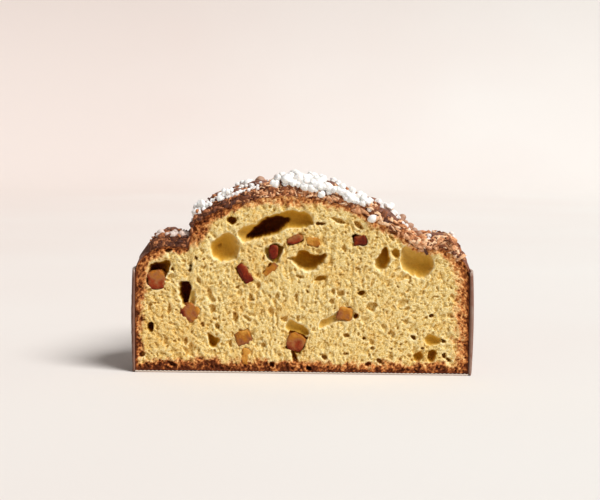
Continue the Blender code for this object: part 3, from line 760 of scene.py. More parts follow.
def crustMaterial():
    made, tree, shader, where = newMaterial("brownedCrust", {"Roughness": 0.62, "Specular IOR Level": 0.35})
    grain = useGroup(tree, bakedGrain, {"Vector": where, "Scale": 420.0, "Roughen": 1.2})
    patches = addNode(tree, "TexNoise", {"Vector": where, "Scale": 55.0, "Detail": 5.0}).outputs["Fac"]
    specks = addMath(tree, "MULTIPLY_ADD", grain["Speck"], 0.22, 0.5)
    mixed = addMath(tree, "MULTIPLY_ADD", patches, 0.55, specks)
    shade = addMath(tree, "ADD", mixed, attributeOf(tree, "bake"), clamp=True)
    colour = useGroup(tree, toastColours, {"Bake": shade})["Color"]
    dressShader(tree, shader, colour, grain["Height"], 0.5, 0.0005)
    return made


def buildCrust():
    columns, rows, wallRows = crust["columns"], crust["rows"], crust["wallRows"]
    spread = 1 - (1 - np.linspace(0, 1, rows + 1)) ** crust["rowBunching"]
    x, v, _ = fanPlan(columns, np.repeat(spread[None, :], columns + 1, axis=0))
    wrinkles = crust["wrinkle"] * relief(x, v, 0.0030, 6.4)
    wrinkles[:, 0] = 0
    top = np.stack([x, cutY + v, crustHeight(x, v) + wrinkles], axis=2)
    rim = outline(columns)
    walls = []
    for level in np.linspace(1, 0, wallRows + 1)[1:]:
        z = cakeFloor + (cakeForm["rimHeight"] - cakeFloor) * level
        dents = 1 + relief(rim[:, 0] + rim[:, 1], np.full(columns + 1, z), 0.006, 1.7)
        ring = outline(columns, crust["wallOut"] - crust["wallRelief"] * dents)
        walls.append(np.stack([ring[:, 0], cutY + ring[:, 1], np.full(columns + 1, z)], axis=1))
    cutLine = np.linspace(rim[0], rim[-1], columns + 1)
    base = np.stack([cutLine[:, 0], np.full(columns + 1, cutY), np.full(columns + 1, cakeFloor)], axis=1)
    points = np.concatenate([top, np.stack([*walls, base], axis=1)], axis=1)
    faces = gridFaces(columns + 1, points.shape[1], flip=True)
    bake = crust["bake"] + crust["wideBlotch"] * relief(x, v, 0.018, 2.2)
    bake += crust["narrowBlotch"] * relief(x, v, 0.0040, 7.7)
    lower = np.repeat(np.linspace(*crust["wallBake"], wallRows + 1)[None, :], columns + 1, axis=0)
    return meshPiece(
        "crust", points.reshape(-1, 3), faces, crustMaterial(), ["cake"], "crumb_and_crust",
        weld=1e-6, bake=np.concatenate([bake, lower], axis=1),
    )


# the almond glaze, cracked into plates
glaze = {
    "columns": 320,
    "rows": 150,
    "rowBunching": 0.80,
    "frontRows": 9,
    "plate": 0.0075,
    "crackDepth": 0.0014,
    "crackWidth": 0.085,
    "crackBend": 0.35,                      # how far the cracks bend, and over what width
    "bendWidth": 0.006,
    "crackShare": (0.55, 1.4),              # how many of them are open: the mean and how much it varies
    "smoothRim": (0.004, 0.006),            # none of it within this of the rim, fading in
    "blister": 0.0009,
    "grain": 0.00025,
    "raggedEdge": 0.0022,
    "sunkRim": -0.0003,
    "bake": -0.30,                          # shade of the top, and what blotches, plates and spots do to it
    "wideBlotch": 0.26,
    "plateBlotch": 0.20,
    "narrowBlotch": 0.26,
    "darkLeft": (0.012, 0.030, 0.030, 0.020, 0.30),     # left of this, fading in, nearer than this, share
    "darkRim": (0.014, 0.010, 0.22),        # within this of the rim, fading in, and how much
    "frontBelow": 0.0004,                   # how far the cut edge of the glaze reaches into the crust
    "frontCrumble": 0.0011,
    "frontInward": 0.0006,
    "frontBake": -0.11,
    "frontLeft": (0.020, 0.030, 0.39),      # darker left of this, fading in, and how much
    "frontMottle": 0.42,
}


def cracks(x, v, size, seedHeight):
    # 1 in the narrow cracks between plates of crust, 0 on them, and a random level for each plate
    crack, level = np.zeros(x.size), np.zeros(x.size)
    for i, (a, b) in enumerate(zip(x.ravel(), v.ravel())):
        bend = noise.noise(Vector((a / glaze["bendWidth"], b / glaze["bendWidth"], 4.0))) * glaze["crackBend"]
        near, centres = noise.voronoi(Vector((a / size + bend, b / size - bend, seedHeight)))
        crack[i] = math.exp(-(((near[1] - near[0]) / glaze["crackWidth"]) ** 2))
        level[i] = noise.cell(centres[0] * 7.3)
    return crack.reshape(x.shape), level.reshape(x.shape)


def glazeTop(x, v):
    return crustHeight(x, v) + glazeForm["gap"] + glazeThickness(x, v)


def glazeMaterial():
    made, tree, shader, where = newMaterial("almondGlaze", {"Roughness": 0.78, "Specular IOR Level": 0.2})
    grain = useGroup(tree, bakedGrain, {"Vector": where, "Scale": 620.0, "Roughen": 1.4})
    pattern = {"Vector": where, "Scale": 120.0, "Detail": 6.0, "Roughness": 0.7}
    patches = addNode(tree, "TexNoise", pattern).outputs["Fac"]
    specks = addMath(tree, "MULTIPLY_ADD", grain["Speck"], 0.24, 0.5)
    raised = addMath(tree, "MULTIPLY_ADD", patches, 0.75, specks)
    shade = addMath(tree, "ADD", raised, attributeOf(tree, "bake"), clamp=True)
    colour = useGroup(tree, toastColours, {"Bake": shade})["Color"]
    colour = mixColours(tree, 0.08, colour, (0.62, 0.33, 0.20))
    colour = mixColours(tree, attributeOf(tree, "crack"), colour, (0.055, 0.018, 0.008))
    dressShader(tree, shader, colour, grain["Height"], 0.5, 0.0004)
    return made


def buildGlaze():
    columns, rows = glaze["columns"], glaze["rows"]
    everyColumn = int(columns / (1 - 2 * glazeForm["bareShare"]))
    first = int(everyColumn * glazeForm["bareShare"])
    spread = np.linspace(0, 1, rows + 1) ** (1 / glaze["rowBunching"])
    shares = np.repeat(spread[None, :], everyColumn + 1, axis=0)
    _, _, reach = fanPlan(everyColumn, shares)
    ragged = relief(np.arange(everyColumn + 1) * 0.0013, 0.0, 0.0070, 8.8) + 0.4
    bare = glazeForm["bareRim"] + glaze["raggedEdge"] * np.clip(ragged, 0, 1)
    shares *= np.clip(1 - bare / np.maximum(reach, 1e-6), 0, 1)[:, None]
    x, v, _ = fanPlan(everyColumn, shares)
    x, v = x[first:-first], v[first:-first]
    crack, plate = cracks(x, v, glaze["plate"], 2.5)
    away = edgeDistance(x, v)
    rim, within = glaze["smoothRim"]
    body = smoothStep((away - rim) / within)
    mean, varies = glaze["crackShare"]
    crackShare = crack * np.clip(mean + varies * relief(x, v, 0.020, 7.1), 0, 1)
    lift = glaze["blister"] * (relief(x, v, 0.0042, 1.3) + 0.6 * (plate - 0.5))
    lift += glaze["grain"] * (relief(x, v, 0.0016, 5.9) + 0.6 * relief(x, v, 0.0008, 3.3))
    lift -= glaze["crackDepth"] * crackShare
    thick = glazeForm["gap"] + glazeThickness(x, v) + lift * body
    thick[:, -1] = glaze["sunkRim"]
    thick[[0, -1], :] = np.minimum(thick[[0, -1], :], glaze["sunkRim"])
    thick[:, -2] *= 0.6
    ground = crustHeight(x, v)
    top = np.stack([x, cutY + v, ground + thick], axis=2)
    bake = glaze["bake"] + glaze["wideBlotch"] * relief(x, v, 0.013, 4.4) + glaze["plateBlotch"] * plate
    bake += glaze["narrowBlotch"] * relief(x, v, 0.0030, 1.9)
    leftFrom, leftWithin, nearFrom, nearWithin, share = glaze["darkLeft"]
    bake += share * smoothStep((-x - leftFrom) / leftWithin) * smoothStep((nearFrom - v) / nearWithin)
    rimFrom, rimWithin, share = glaze["darkRim"]
    bake += share * smoothStep((rimFrom - away) / rimWithin)

    front, frontBake = [], []
    leftFrom, leftWithin, leftShare = glaze["frontLeft"]
    left = leftShare * smoothStep((-x[:, 0] - leftFrom) / leftWithin)
    for row in range(glaze["frontRows"] + 1):
        share = 1 - row / glaze["frontRows"]
        z = ground[:, 0] - glaze["frontBelow"] + (thick[:, 0] + glaze["frontBelow"]) * share
        crumbly = 0.6 * relief(x[:, 0], z, 0.0013, 2.0) + relief(x[:, 0], z, 0.0030, 6.0)
        inward = glaze["frontCrumble"] * crumbly + glaze["frontInward"]
        if row in (0, glaze["frontRows"]):
            inward = inward * 0
        front.append(np.stack([x[:, 0], cutY + inward, z], axis=1))
        frontBake.append(glaze["frontBake"] + left + glaze["frontMottle"] * crumbly)
    front = np.stack(front[::-1], axis=1)
    points = np.concatenate([front[:, :-1], top], axis=1)
    crackAll = np.concatenate([np.zeros((len(x), glaze["frontRows"])), crackShare * body * 0.8], axis=1)
    bakeAll = np.concatenate([np.stack(frontBake[::-1], axis=1)[:, :-1], bake], axis=1)
    faces = gridFaces(points.shape[0], points.shape[1], flip=True)
    return meshPiece(
        "almondGlaze", points.reshape(-1, 3), faces, glazeMaterial(), ["almond_glaze"], "almond_glaze",
        weld=1e-6, bake=bakeAll, crack=crackAll,
    )


# loose crumbs, chips and lumps of the glaze
flakes = {
    "crumbs": 1300,
    "crumbSize": (0.0007, 0.0022),
    "crumbDents": 0.28,
    "chips": 620,
    "chipSize": (0.0024, 0.0056),
    "chipForm": (1.20, 0.85, 0.30),
    "chipTilt": 24.0,
    "frontChips": 520,
    "frontSize": (0.0018, 0.0046),
    "frontForm": (1.40, 0.80, 0.48),
    "frontTilt": 38.0,
    "chipDents": 0.34,
    "lumps": 110,
    "lumpSize": (0.0034, 0.0068),
    "lumpForm": (1.15, 0.85, 0.56),
    "lumpTilt": 26.0,
    "lumpDents": 0.16,
    "crumbsAcross": (-0.092, 0.092),        # from here to there, for each kind
    "chipsAcross": (-0.085, 0.094),
    "frontAcross": (-0.088, 0.093),
    "lumpsRight": (0.046, 0.093),           # most lumps lie here, the others left of it
    "lumpsLeft": (-0.086, 0.046),
    "mostRight": 0.8,
    "crumbsBack": 0.148,                    # how far behind the cut they reach
    "chipsBack": 0.050,
    "lumpsBack": 0.014,
    "crumbShares": (0.45, 0.9, 0.3),        # how many are kept: the mean, in drifts, and more on the right
    "chipShares": (0.35, 0.010, 0.025),     # this share on the left, and all of them right of this, fading in
    "frontScales": (0.030, 0.9, 1.35),      # small at the front left of this, large right of it
    "bareAlmond": (0.0475, 0.013),          # an almond that shows: across, and bare up to this far back
    "toast": (0.24, 0.26),                  # how brown they are: the mean and how much it varies
    "darkLeft": (-0.022, 0.020, 0.42),      # darker left of this, fading in, and how much
    "seed": 5,
}


def roundBody(subdivisions):
    shape = bmesh.new()
    bmesh.ops.create_icosphere(shape, subdivisions=subdivisions, radius=1.0)
    points = np.array([vertex.co[:] for vertex in shape.verts])
    faces = np.array([[vertex.index for vertex in face.verts] for face in shape.faces])
    shape.free()
    return points, faces


def randomTurns(count, rng):
    # rotation matrices, evenly spread
    q = rng.normal(size=(count, 4))
    q /= np.linalg.norm(q, axis=1)[:, None]
    w, x, y, z = q.T
    return np.stack([
        np.stack([1 - 2 * (y * y + z * z), 2 * (x * y - z * w), 2 * (x * z + y * w)], axis=1),
        np.stack([2 * (x * y + z * w), 1 - 2 * (x * x + z * z), 2 * (y * z - x * w)], axis=1),
        np.stack([2 * (x * z - y * w), 2 * (y * z + x * w), 1 - 2 * (x * x + y * y)], axis=1),
    ], axis=1)


def lyingTurns(count, rng, tilt, slope, anyHeading=True):
    # rotation matrices of flat things that lie on a slope, each a little askew
    turns = []
    for lean in np.broadcast_to(slope, count):
        heading = rng.uniform(0, 2 * math.pi) if anyHeading else rng.normal(0, 0.35)
        askew = [math.radians(rng.normal(0, tilt)) for _ in range(2)]
        turn = Matrix.Rotation(-float(lean) + askew[0], 3, "Y") @ Matrix.Rotation(askew[1], 3, "X")
        turns.append(np.array(turn @ Matrix.Rotation(heading, 3, "Z")))
    return np.array(turns)


def joinedBodies(base, faces, centres, sizes, rng, uneven, turns, form=(1.0, 1.0, 1.0)):
    # many copies of one body as one mesh, each turned, stretched and dented by chance
    count = len(centres)
    shapes = base[None] * (1 + uneven * rng.uniform(-1, 1, (count, len(base), 1)))
    shapes = shapes * (sizes[:, None, None] / 2) * rng.uniform(0.6, 1.3, (count, 1, 3)) * np.array(form)
    shapes = np.einsum("nij,nvj->nvi", turns, shapes) + centres[:, None, :]
    joined = (faces[None] + (np.arange(count) * len(base))[:, None, None]).reshape(-1, faces.shape[1])
    return shapes.reshape(-1, 3), joined


def flakeMaterial():
    made, tree, shader, where = newMaterial("glazeCrumbs", {"Roughness": 0.75})
    grain = useGroup(tree, bakedGrain, {"Vector": where, "Scale": 900.0, "Roughen": 1.0})
    shade = addMath(tree, "MULTIPLY_ADD", grain["Speck"], 0.30, attributeOf(tree, "toast"))
    colour = addRamp(tree, shade, (
        (0.0, (0.96, 0.74, 0.50)),
        (0.25, (0.84, 0.46, 0.235)),
        (0.50, (0.56, 0.215, 0.076)),
        (0.75, (0.25, 0.072, 0.022)),
        (1.0, (0.080, 0.020, 0.008)),
    ))
    dressShader(tree, shader, colour, grain["Height"], 0.4, 0.0003)
    return made


def steepness(x):
    # the slope of the top along the cut, in radians
    reach = 0.002
    rise = crustHeight(x + reach, np.zeros(len(x))) - crustHeight(x - reach, np.zeros(len(x)))
    return np.arctan(rise / (2 * reach))


def crumbPlaces(rng):
    tries = flakes["crumbs"] * 4
    x = rng.uniform(*flakes["crumbsAcross"], tries)
    v = flakes["crumbsBack"] * rng.random(tries) ** 1.2
    on = insideOutline(x, v, planLoop) > np.where(v < 0.004, 0.0002, 0.004)
    mean, drifts, right = flakes["crumbShares"]
    share = mean + drifts * relief(x, v, 0.012, 6.6) + right * smoothStep((x - 0.005) / 0.03)
    on &= rng.random(tries) < share
    return x[on][:flakes["crumbs"]], v[on][:flakes["crumbs"]]


def clearOfBare(x, v, reach):
    # not in front of the almond that shows
    middle, back = flakes["bareAlmond"]
    return ~((np.abs(x - middle) < reach) & (v < back))


def buildFlakes():
    rng = np.random.default_rng(flakes["seed"])
    base, faces = roundBody(1)
    x, v = crumbPlaces(rng)
    small, large = flakes["crumbSize"]
    sizes = small * (large / small) ** (rng.random(len(x)) ** 1.5)
    crumbs = np.stack([x, cutY + v + 0.0004, glazeTop(x, v) + sizes * 0.12], axis=1)
    turns = randomTurns(len(x), rng)
    parts = [(crumbs, joinedBodies(base, faces, crumbs, sizes, rng, flakes["crumbDents"], turns))]

    def addChips(centres, sizes, turns, form):
        made = joinedBodies(base, faces, centres, sizes, rng, flakes["chipDents"], turns, flakes[form])
        parts.append((centres, made))

    x = rng.uniform(*flakes["chipsAcross"], flakes["chips"])
    v = 0.0004 + flakes["chipsBack"] * rng.random(len(x)) ** 2.2
    least, middle, within = flakes["chipShares"]
    keep = rng.random(len(x)) < least + (1 - least) * smoothStep((x - middle) / within)
    keep &= (edgeDistance(x, v) > 0.003) & clearOfBare(x, v, 0.0070)
    x, v = x[keep], v[keep]
    sizes = rng.uniform(*flakes["chipSize"], len(x))
    chips = np.stack([x, cutY + v + 0.0006, glazeTop(x, v) + 0.10 * sizes], axis=1)
    addChips(chips, sizes, lyingTurns(len(x), rng, flakes["chipTilt"], steepness(x)), "chipForm")

    x = rng.uniform(*flakes["frontAcross"], flakes["frontChips"])
    low = crustHeight(x, np.zeros(len(x)))
    z = low + (0.05 + 0.95 * rng.random(len(x))) * (glazeTop(x, np.zeros(len(x))) - low)
    middle, smaller, larger = flakes["frontScales"]
    sizes = rng.uniform(*flakes["frontSize"], len(x)) * np.where(x > middle, larger, smaller)
    front = np.stack([x, cutY + 0.0007 + 0.12 * sizes, z], axis=1)
    addChips(front, sizes, lyingTurns(len(x), rng, flakes["frontTilt"], steepness(x), False), "frontForm")

    count = flakes["lumps"]
    onRight = rng.random(count) < flakes["mostRight"]
    x = np.where(onRight, rng.uniform(*flakes["lumpsRight"], count), rng.uniform(*flakes["lumpsLeft"], count))
    v = 0.0006 + flakes["lumpsBack"] * rng.random(len(x)) ** 2.4
    keep = clearOfBare(x, v, 0.0080)
    x, v = x[keep], v[keep]
    sizes = rng.uniform(*flakes["lumpSize"], len(x))
    sunk = (0.05 - 0.75 * rng.random(len(x))) * sizes
    lumps = np.stack([x, cutY + v + 0.22 * sizes, glazeTop(x, v) + sunk], axis=1)
    turns = lyingTurns(len(x), rng, flakes["lumpTilt"], steepness(x))
    bodies = joinedBodies(*roundBody(2), lumps, sizes, rng, flakes["lumpDents"], turns, flakes["lumpForm"])
    parts.append((lumps, bodies))

    points, allFaces, toasts, first = [], [], [], 0
    darkFrom, darkWithin, darkShare = flakes["darkLeft"]
    for centres, (bodyPoints, bodyFaces) in parts:
        toast = np.clip(rng.normal(*flakes["toast"], len(centres)), 0, 0.9)
        toast += darkShare * smoothStep((darkFrom - centres[:, 0]) / darkWithin)
        toasts.append(np.repeat(np.clip(toast, 0, 1), len(bodyPoints) // len(centres)))
        points.append(bodyPoints)
        allFaces.append(bodyFaces + first)
        first += len(bodyPoints)
    return meshPiece(
        "glazeCrumbs", np.concatenate(points), np.concatenate(allFaces), flakeMaterial(),
        slot="almond_glaze", toast=np.concatenate(toasts),
    )


# whole almonds, half sunk in the glaze
almond = {
    "size": (0.0180, 0.0104, 0.0070),       # length, width and thickness
    "point": 0.45,                          # how much narrower the pointed end is
    "lift": 0.0038,
    # those near the cut: across, behind the cut, turn in degrees, share of the size
    "front": (
        (0.0215, 0.0150, -14, 0.86), (0.0475, 0.0075, 8, 0.92), (-0.0270, 0.0190, 4, 1.00),
        (-0.0385, 0.0078, 12, 0.90), (0.0790, 0.0100, -10, 0.88),
    ),
    "back": 12,
    "spacing": 0.0270,
    "ridge": 0.00022,
    "sideClear": 0.012,                     # those at the back keep clear of side, wing and rim by this
    "wingClear": 0.010,
    "wingBack": 0.042,
    "rimClear": 0.020,
    "seed": 26,
}


def almondSpots(rng):
    spots = list(almond["front"])
    while len(spots) < len(almond["front"]) + almond["back"]:
        x, v = rng.uniform(-0.085, 0.085), rng.uniform(0.020, 0.140)
        turn, share = rng.uniform(0, 180), rng.uniform(0.84, 1.05)
        half = cakeForm["bodyHalfWidth"]
        onWing = v < almond["wingBack"] and abs(x) > half + almond["wingClear"]
        inside = abs(x) < half - almond["sideClear"] or onWing
        if not inside or min(math.hypot(x - s[0], v - s[1]) for s in spots) < almond["spacing"]:
            continue
        if edgeDistance(x, v) < almond["rimClear"]:
            continue
        spots.append((x, v, turn, share))
    return spots


def surfaceNormal(x, v, reach=0.004):
    across = crustHeight(x + reach, v) - crustHeight(x - reach, v)
    along = crustHeight(x, v + reach) - crustHeight(x, max(v - reach, 0.0))
    return Vector((-across, -along, 2 * reach)).normalized()


def almondMatrix(x, v, turn):
    normal = surfaceNormal(x, v)
    across = Vector((0, 1, 0)).cross(normal).normalized()
    lie = Matrix((across, normal.cross(across), normal)).transposed().to_4x4()
    middle = Vector((x, cutY + v, crustHeight(x, v))) + normal * almond["lift"]
    return Matrix.Translation(middle) @ lie @ Matrix.Rotation(math.radians(turn), 4, "Z")


def almondMaterial():
    made, tree, shader, where = newMaterial("almondSkin", {"Roughness": 0.55, "Specular IOR Level": 0.4})
    grain = useGroup(tree, bakedGrain, {"Vector": where, "Scale": 700.0, "Roughen": 1.0})
    shade = addMath(tree, "MULTIPLY_ADD", grain["Speck"], 0.4, attributeOf(tree, "ridge"))
    colour = addRamp(tree, shade, (
        (0.0, (0.34, 0.150, 0.085)),
        (0.5, (0.20, 0.070, 0.038)),
        (1.0, (0.065, 0.020, 0.012)),
    ))
    dressShader(tree, shader, colour, grain["Height"], 0.4, 0.0003)
    return made


def buildAlmonds(spots):
    base, faces = roundBody(5)
    allPoints, allFaces, allRidges = [], [], []
    for number, (x, v, turn, share) in enumerate(spots):
        length, width, thickness = (side * share / 2 for side in almond["size"])
        matrix = np.array(almondMatrix(x, v, turn))
        a, b, c = base.T
        narrow = 1 - almond["point"] * np.maximum(a, 0) ** 2
        around = np.arctan2(c, b)
        veins = relief(around * 2.2, a * 0.9, 0.42, number * 1.7) * np.sqrt(np.clip(1 - a**2, 0, 1))
        swell = 1 + almond["ridge"] * veins / thickness * 2.2
        local = np.stack([a * length, b * width * narrow * swell, c * thickness * narrow * swell], axis=1)
        allPoints.append(local @ matrix[:3, :3].T + matrix[:3, 3])
        allFaces.append(faces + number * len(base))
        allRidges.append(0.35 - 0.9 * veins)
    names = [f"almond_{number:02d}" for number in range(1, len(spots) + 1)]
    return meshPiece(
        "almonds", np.concatenate(allPoints), np.concatenate(allFaces), almondMaterial(),
        names, "almond_skin", ridge=np.concatenate(allRidges),
    )


# pearl sugar: the grains that the solids have, and the drifts between them
sugar = {
    "solidGrains": 68,
    "size": (0.0042, 0.0062),
    "across": (-0.092, 0.092),              # the solid ones lie from here to there across and behind the cut
    "behind": (0.004, 0.142),
    "apart": 0.85,
    "edge": 0.0140,
    "clusterEdge": 0.008,                   # the others keep this far from the rim, and within these
    "clusterBack": 0.140,
    "clusterSide": 0.090,
    # across, behind the cut, spread across, spread back, how many, smallest and largest, soiled (on the left
    # shoulder, painted shade)
    "clusters": (
        (0.0030, 0.0045, 0.0050, 0.0045, 46, 0.0038, 0.0058, 0.0),
        (0.0115, 0.0045, 0.0048, 0.0045, 50, 0.0038, 0.0060, 0.0),
        (0.0230, 0.0022, 0.0036, 0.0014, 12, 0.0034, 0.0046, 0.0),
        (-0.0562, 0.0030, 0.0034, 0.0024, 30, 0.0022, 0.0038, 0.0),
        (-0.0440, 0.0045, 0.0036, 0.0034, 34, 0.0024, 0.0040, 0.0),
        (-0.0350, 0.0080, 0.0030, 0.0030, 14, 0.0022, 0.0034, 0.1),
        (0.0340, 0.0022, 0.0022, 0.0012, 6, 0.0030, 0.0046, 0.0),
        (0.0500, 0.0140, 0.0026, 0.0020, 6, 0.0030, 0.0046, 0.0),
        (0.0570, 0.0050, 0.0018, 0.0016, 2, 0.0022, 0.0034, 0.1),
        (0.0710, 0.0050, 0.0030, 0.0020, 4, 0.0020, 0.0030, 0.2),
        (0.0930, 0.0120, 0.0020, 0.0030, 3, 0.0022, 0.0032, 0.2),
        # the pearls on the left shoulder are browned as painted shade
        (-0.0790, 0.0030, 0.0030, 0.0024, 7, 0.0028, 0.0040, 0.5),
        (-0.0685, 0.0020, 0.0012, 0.0010, 3, 0.0044, 0.0052, 0.6),
    ),
    "back": 130,
    "backSize": (0.0024, 0.0050),
    # pearls down the cut edge of the glaze, from here to there in millimetres, how many, size
    "runs": (
        (-6.0, 113.0, 24.0, 110.0, 15, 0.0046),
        (3.0, 109.5, 12.0, 108.0, 4, 0.0044),
        (22.0, 108.5, 31.0, 103.0, 7, 0.0044),
        (33.0, 104.0, 38.0, 102.5, 3, 0.0040),
        (38.5, 101.5, 39.5, 99.0, 2, 0.0036),
        (41.2, 92.4, 41.4, 92.2, 1, 0.0056),
        (-50.0, 104.0, -42.0, 109.0, 7, 0.0030),
    ),
    # solid ones that are brown: from here to there across, up to this far back
    "nutBits": ((-0.0280, -0.0090, 0.0450), (0.0545, 0.0720, 0.0400)),
    "nutSoil": 0.9,
    "sideShade": (-0.064, 0.030, 0.42),      # painted shade on the pearls left of this, up to this far back, and how much
    "plainSoil": 0.05,
    "stack": 1.5,                           # how high they pile up, in radii, and where they lie thin
    "thinStack": 0.4,
    "thinLeft": -0.0200,
    "thinRight": (0.0145, 0.0290),
    "clearBehind": 0.0038,                  # on that stretch none lies further back than this
    "clearRight": (0.0410, 0.0540, 0.0080),     # none from here to there across, up to this far back
    "backSpread": 0.034,                    # those at the back: spread across, and how far behind the cut
    "backFrom": (0.045, 0.140),
    "backTries": 1200,
    "shapes": 12,                           # how many lumpy forms there are, how lumpy, and how stretched
    "lumpy": 0.34,
    "stretch": (0.82, 1.15),
    "drift": (0.022, 5.3),                  # width and seed of the drifts that they lie in
    "dust": 170,
    "dustSize": (0.0008, 0.0020),
    "dustDents": 0.12,
    "dustSoil": 0.15,
    "seed": 31,
}


def clearOfAlmonds(x, v, radius, spots, margin=1.15):
    for ax, av, turn, share in spots:
        heading = math.radians(turn)
        dx, dv = x - ax, v - av
        lengthwise = dx * math.cos(heading) + dv * math.sin(heading)
        sideways = -dx * math.sin(heading) + dv * math.cos(heading)
        long = lengthwise / (almond["size"][0] * share / 2 + radius)
        wide = sideways / (almond["size"][1] * share / 2 + radius)
        if math.hypot(long, wide) < margin:
            return False
    return True


def solidGrains(rng, spots):
    grains = []
    while len(grains) < sugar["solidGrains"]:
        x, v = rng.uniform(*sugar["across"]), rng.uniform(*sugar["behind"])
        radius = rng.uniform(*sugar["size"]) / 2
        drift = float(relief(x, v, *sugar["drift"])) + rng.uniform(-0.25, 0.35)
        if drift < 0 or (abs(x) > cakeForm["bodyHalfWidth"] and v > 0.060):
            continue
        if any(math.hypot(x - g[0], v - g[1]) < sugar["apart"] * (radius + g[2]) for g in grains):
            continue
        if not clearOfAlmonds(x, v, radius, spots) or (edgeDistance(x, v) < sugar["edge"] and v > 0.004):
            continue
        grains.append((x, v, radius))
    return sorted(grains, key=lambda grain: -grain[2])


def hidesAlmond(x, v):
    # in front of one of the two almonds that show
    left, right, back = sugar["clearRight"]
    thinLeft, thinRight = sugar["thinRight"]
    return left < x < right and v < back or thinLeft < x < thinRight and v > sugar["clearBehind"]


def soilAndShadeOf(x, v):
    # how brown a solid grain is: some lie where there are bits of nut, and those on the left shoulder get
    # painted shade
    if any(left < x < right and v < back for left, right, back in sugar["nutBits"]):
        return sugar["nutSoil"]
    left, back, soil = sugar["sideShade"]
    return soil if x < left and v < back else sugar["plainSoil"]


def lyingThin(x):
    left, right = sugar["thinRight"]
    return left < x < right or x < sugar["thinLeft"]


def restingHeight(x, v, radius, grains):
    # on the glaze, or leaning on the grains already there
    ground = float(glazeTop(x, v)) + 0.45 * radius
    height = ground
    for gx, gv, gr, gz in grains:
        touch, apart = 0.76 * (radius + gr), math.hypot(x - gx, v - gv)
        if apart < touch:
            height = max(height, gz + math.sqrt(touch**2 - apart**2))
    return height, height - ground


def sugarMaterial():
    made, tree, shader, where = newMaterial("pearlSugar", {
        "Roughness": 0.55,
        "Specular IOR Level": 0.45,
        "Subsurface Weight": 0.15,
        "Subsurface Radius": (0.0012, 0.0010, 0.0008),
    })
    grain = useGroup(tree, bakedGrain, {"Vector": where, "Scale": 1400.0, "Roughen": 1.0})
    colour = mixColours(tree, grain["Speck"], (0.98, 0.97, 0.95), (0.90, 0.87, 0.82))
    # browner where soiled, and on the left shoulder as painted shade
    colour = mixColours(tree, attributeOf(tree, "soiled"), colour, (0.42, 0.19, 0.085))
    dressShader(tree, shader, colour, grain["Height"], 0.5, 0.00025)
    return made


def pearlPlaces(spots, rng, wild, draw):
    # across, behind the cut, radius and height of every pearl, and how soiled each is, painted shade included
    grains, soil = [], []
    for x, v, radius in solidGrains(rng, spots):
        grains.append((x, v, radius, float(glazeTop(x, v)) + 0.5 * radius))
        soil.append(soilAndShadeOf(x, v))
    for middleX, middleV, spreadX, spreadV, count, smallest, largest, soiled in sugar["clusters"]:
        made = tries = 0
        while made < count and tries < 60 * count:
            tries += 1
            x, v = wild.gauss(middleX, spreadX), abs(wild.gauss(middleV, spreadV)) + 0.0012
            radius = wild.uniform(smallest, largest) / 2
            if v > sugar["clusterBack"] or abs(x) > sugar["clusterSide"]:
                continue
            if edgeDistance(x, v) < sugar["clusterEdge"] and v > 0.006:
                continue
            if not clearOfAlmonds(x, v, radius, spots, 0.9) or hidesAlmond(x, v):
                continue
            height, piled = restingHeight(x, v, radius, grains)
            if piled > sugar["thinStack" if lyingThin(x) else "stack"] * radius:
                continue
            grains.append((x, v, radius, height))
            soil.append(soiled + 0.10 * wild.random())
            made += 1
    tries = sugar["backTries"]
    x, v = draw.normal(0, sugar["backSpread"], tries), draw.uniform(*sugar["backFrom"], tries)
    on = relief(x, v, *sugar["drift"]) + draw.uniform(-0.15, 0.25, tries) > 0
    on &= insideOutline(x, v, planLoop) > 0.010
    for x, v in list(zip(x[on], v[on]))[:sugar["back"]]:
        radius = wild.uniform(*sugar["backSize"]) / 2
        if clearOfAlmonds(x, v, radius, spots, 0.9):
            grains.append((x, v, radius, restingHeight(x, v, radius, grains)[0]))
            soil.append(0.10 * wild.random())
    for fromX, fromZ, toX, toZ, count, size in sugar["runs"]:
        for step in range(count):
            share = (step + wild.uniform(0.2, 0.8)) / count
            x = fromX + (toX - fromX) * share + min(count, 2) * wild.uniform(-0.6, 0.6)
            z = fromZ + (toZ - fromZ) * share + min(count, 2) * wild.uniform(-1.0, 0.8)
            v = 0.0004 + wild.uniform(0, 0.0008)
            grains.append((x / 1000, v, size * wild.uniform(0.85, 1.15) / 2, z / 1000))
            soil.append(0.0)
    return grains, soil


def pearlBodies(grains, base, faces, draw):
    centres = np.array([(x, cutY + v, z) for x, v, _, z in grains])
    sizes = np.array([2 * radius for _, _, radius, _ in grains])
    count, forms = len(grains), sugar["shapes"]
    x, y = base[:, 0], base[:, 1] + base[:, 2] * 0.7
    lumpy = np.stack([relief(x + n * 3.1, y, 0.8, n * 2.3) for n in range(forms)])
    which = draw.integers(0, forms, count)
    shapes = base[None] * (1 + sugar["lumpy"] * lumpy[which][:, :, None])
    shapes *= (sizes[:, None, None] / 2) * draw.uniform(*sugar["stretch"], (count, 1, 3))
    shapes = np.einsum("nij,nvj->nvi", randomTurns(count, draw), shapes) + centres[:, None, :]
    joined = (faces[None] + (np.arange(count) * len(base))[:, None, None]).reshape(-1, 3)
    return shapes.reshape(-1, 3), joined


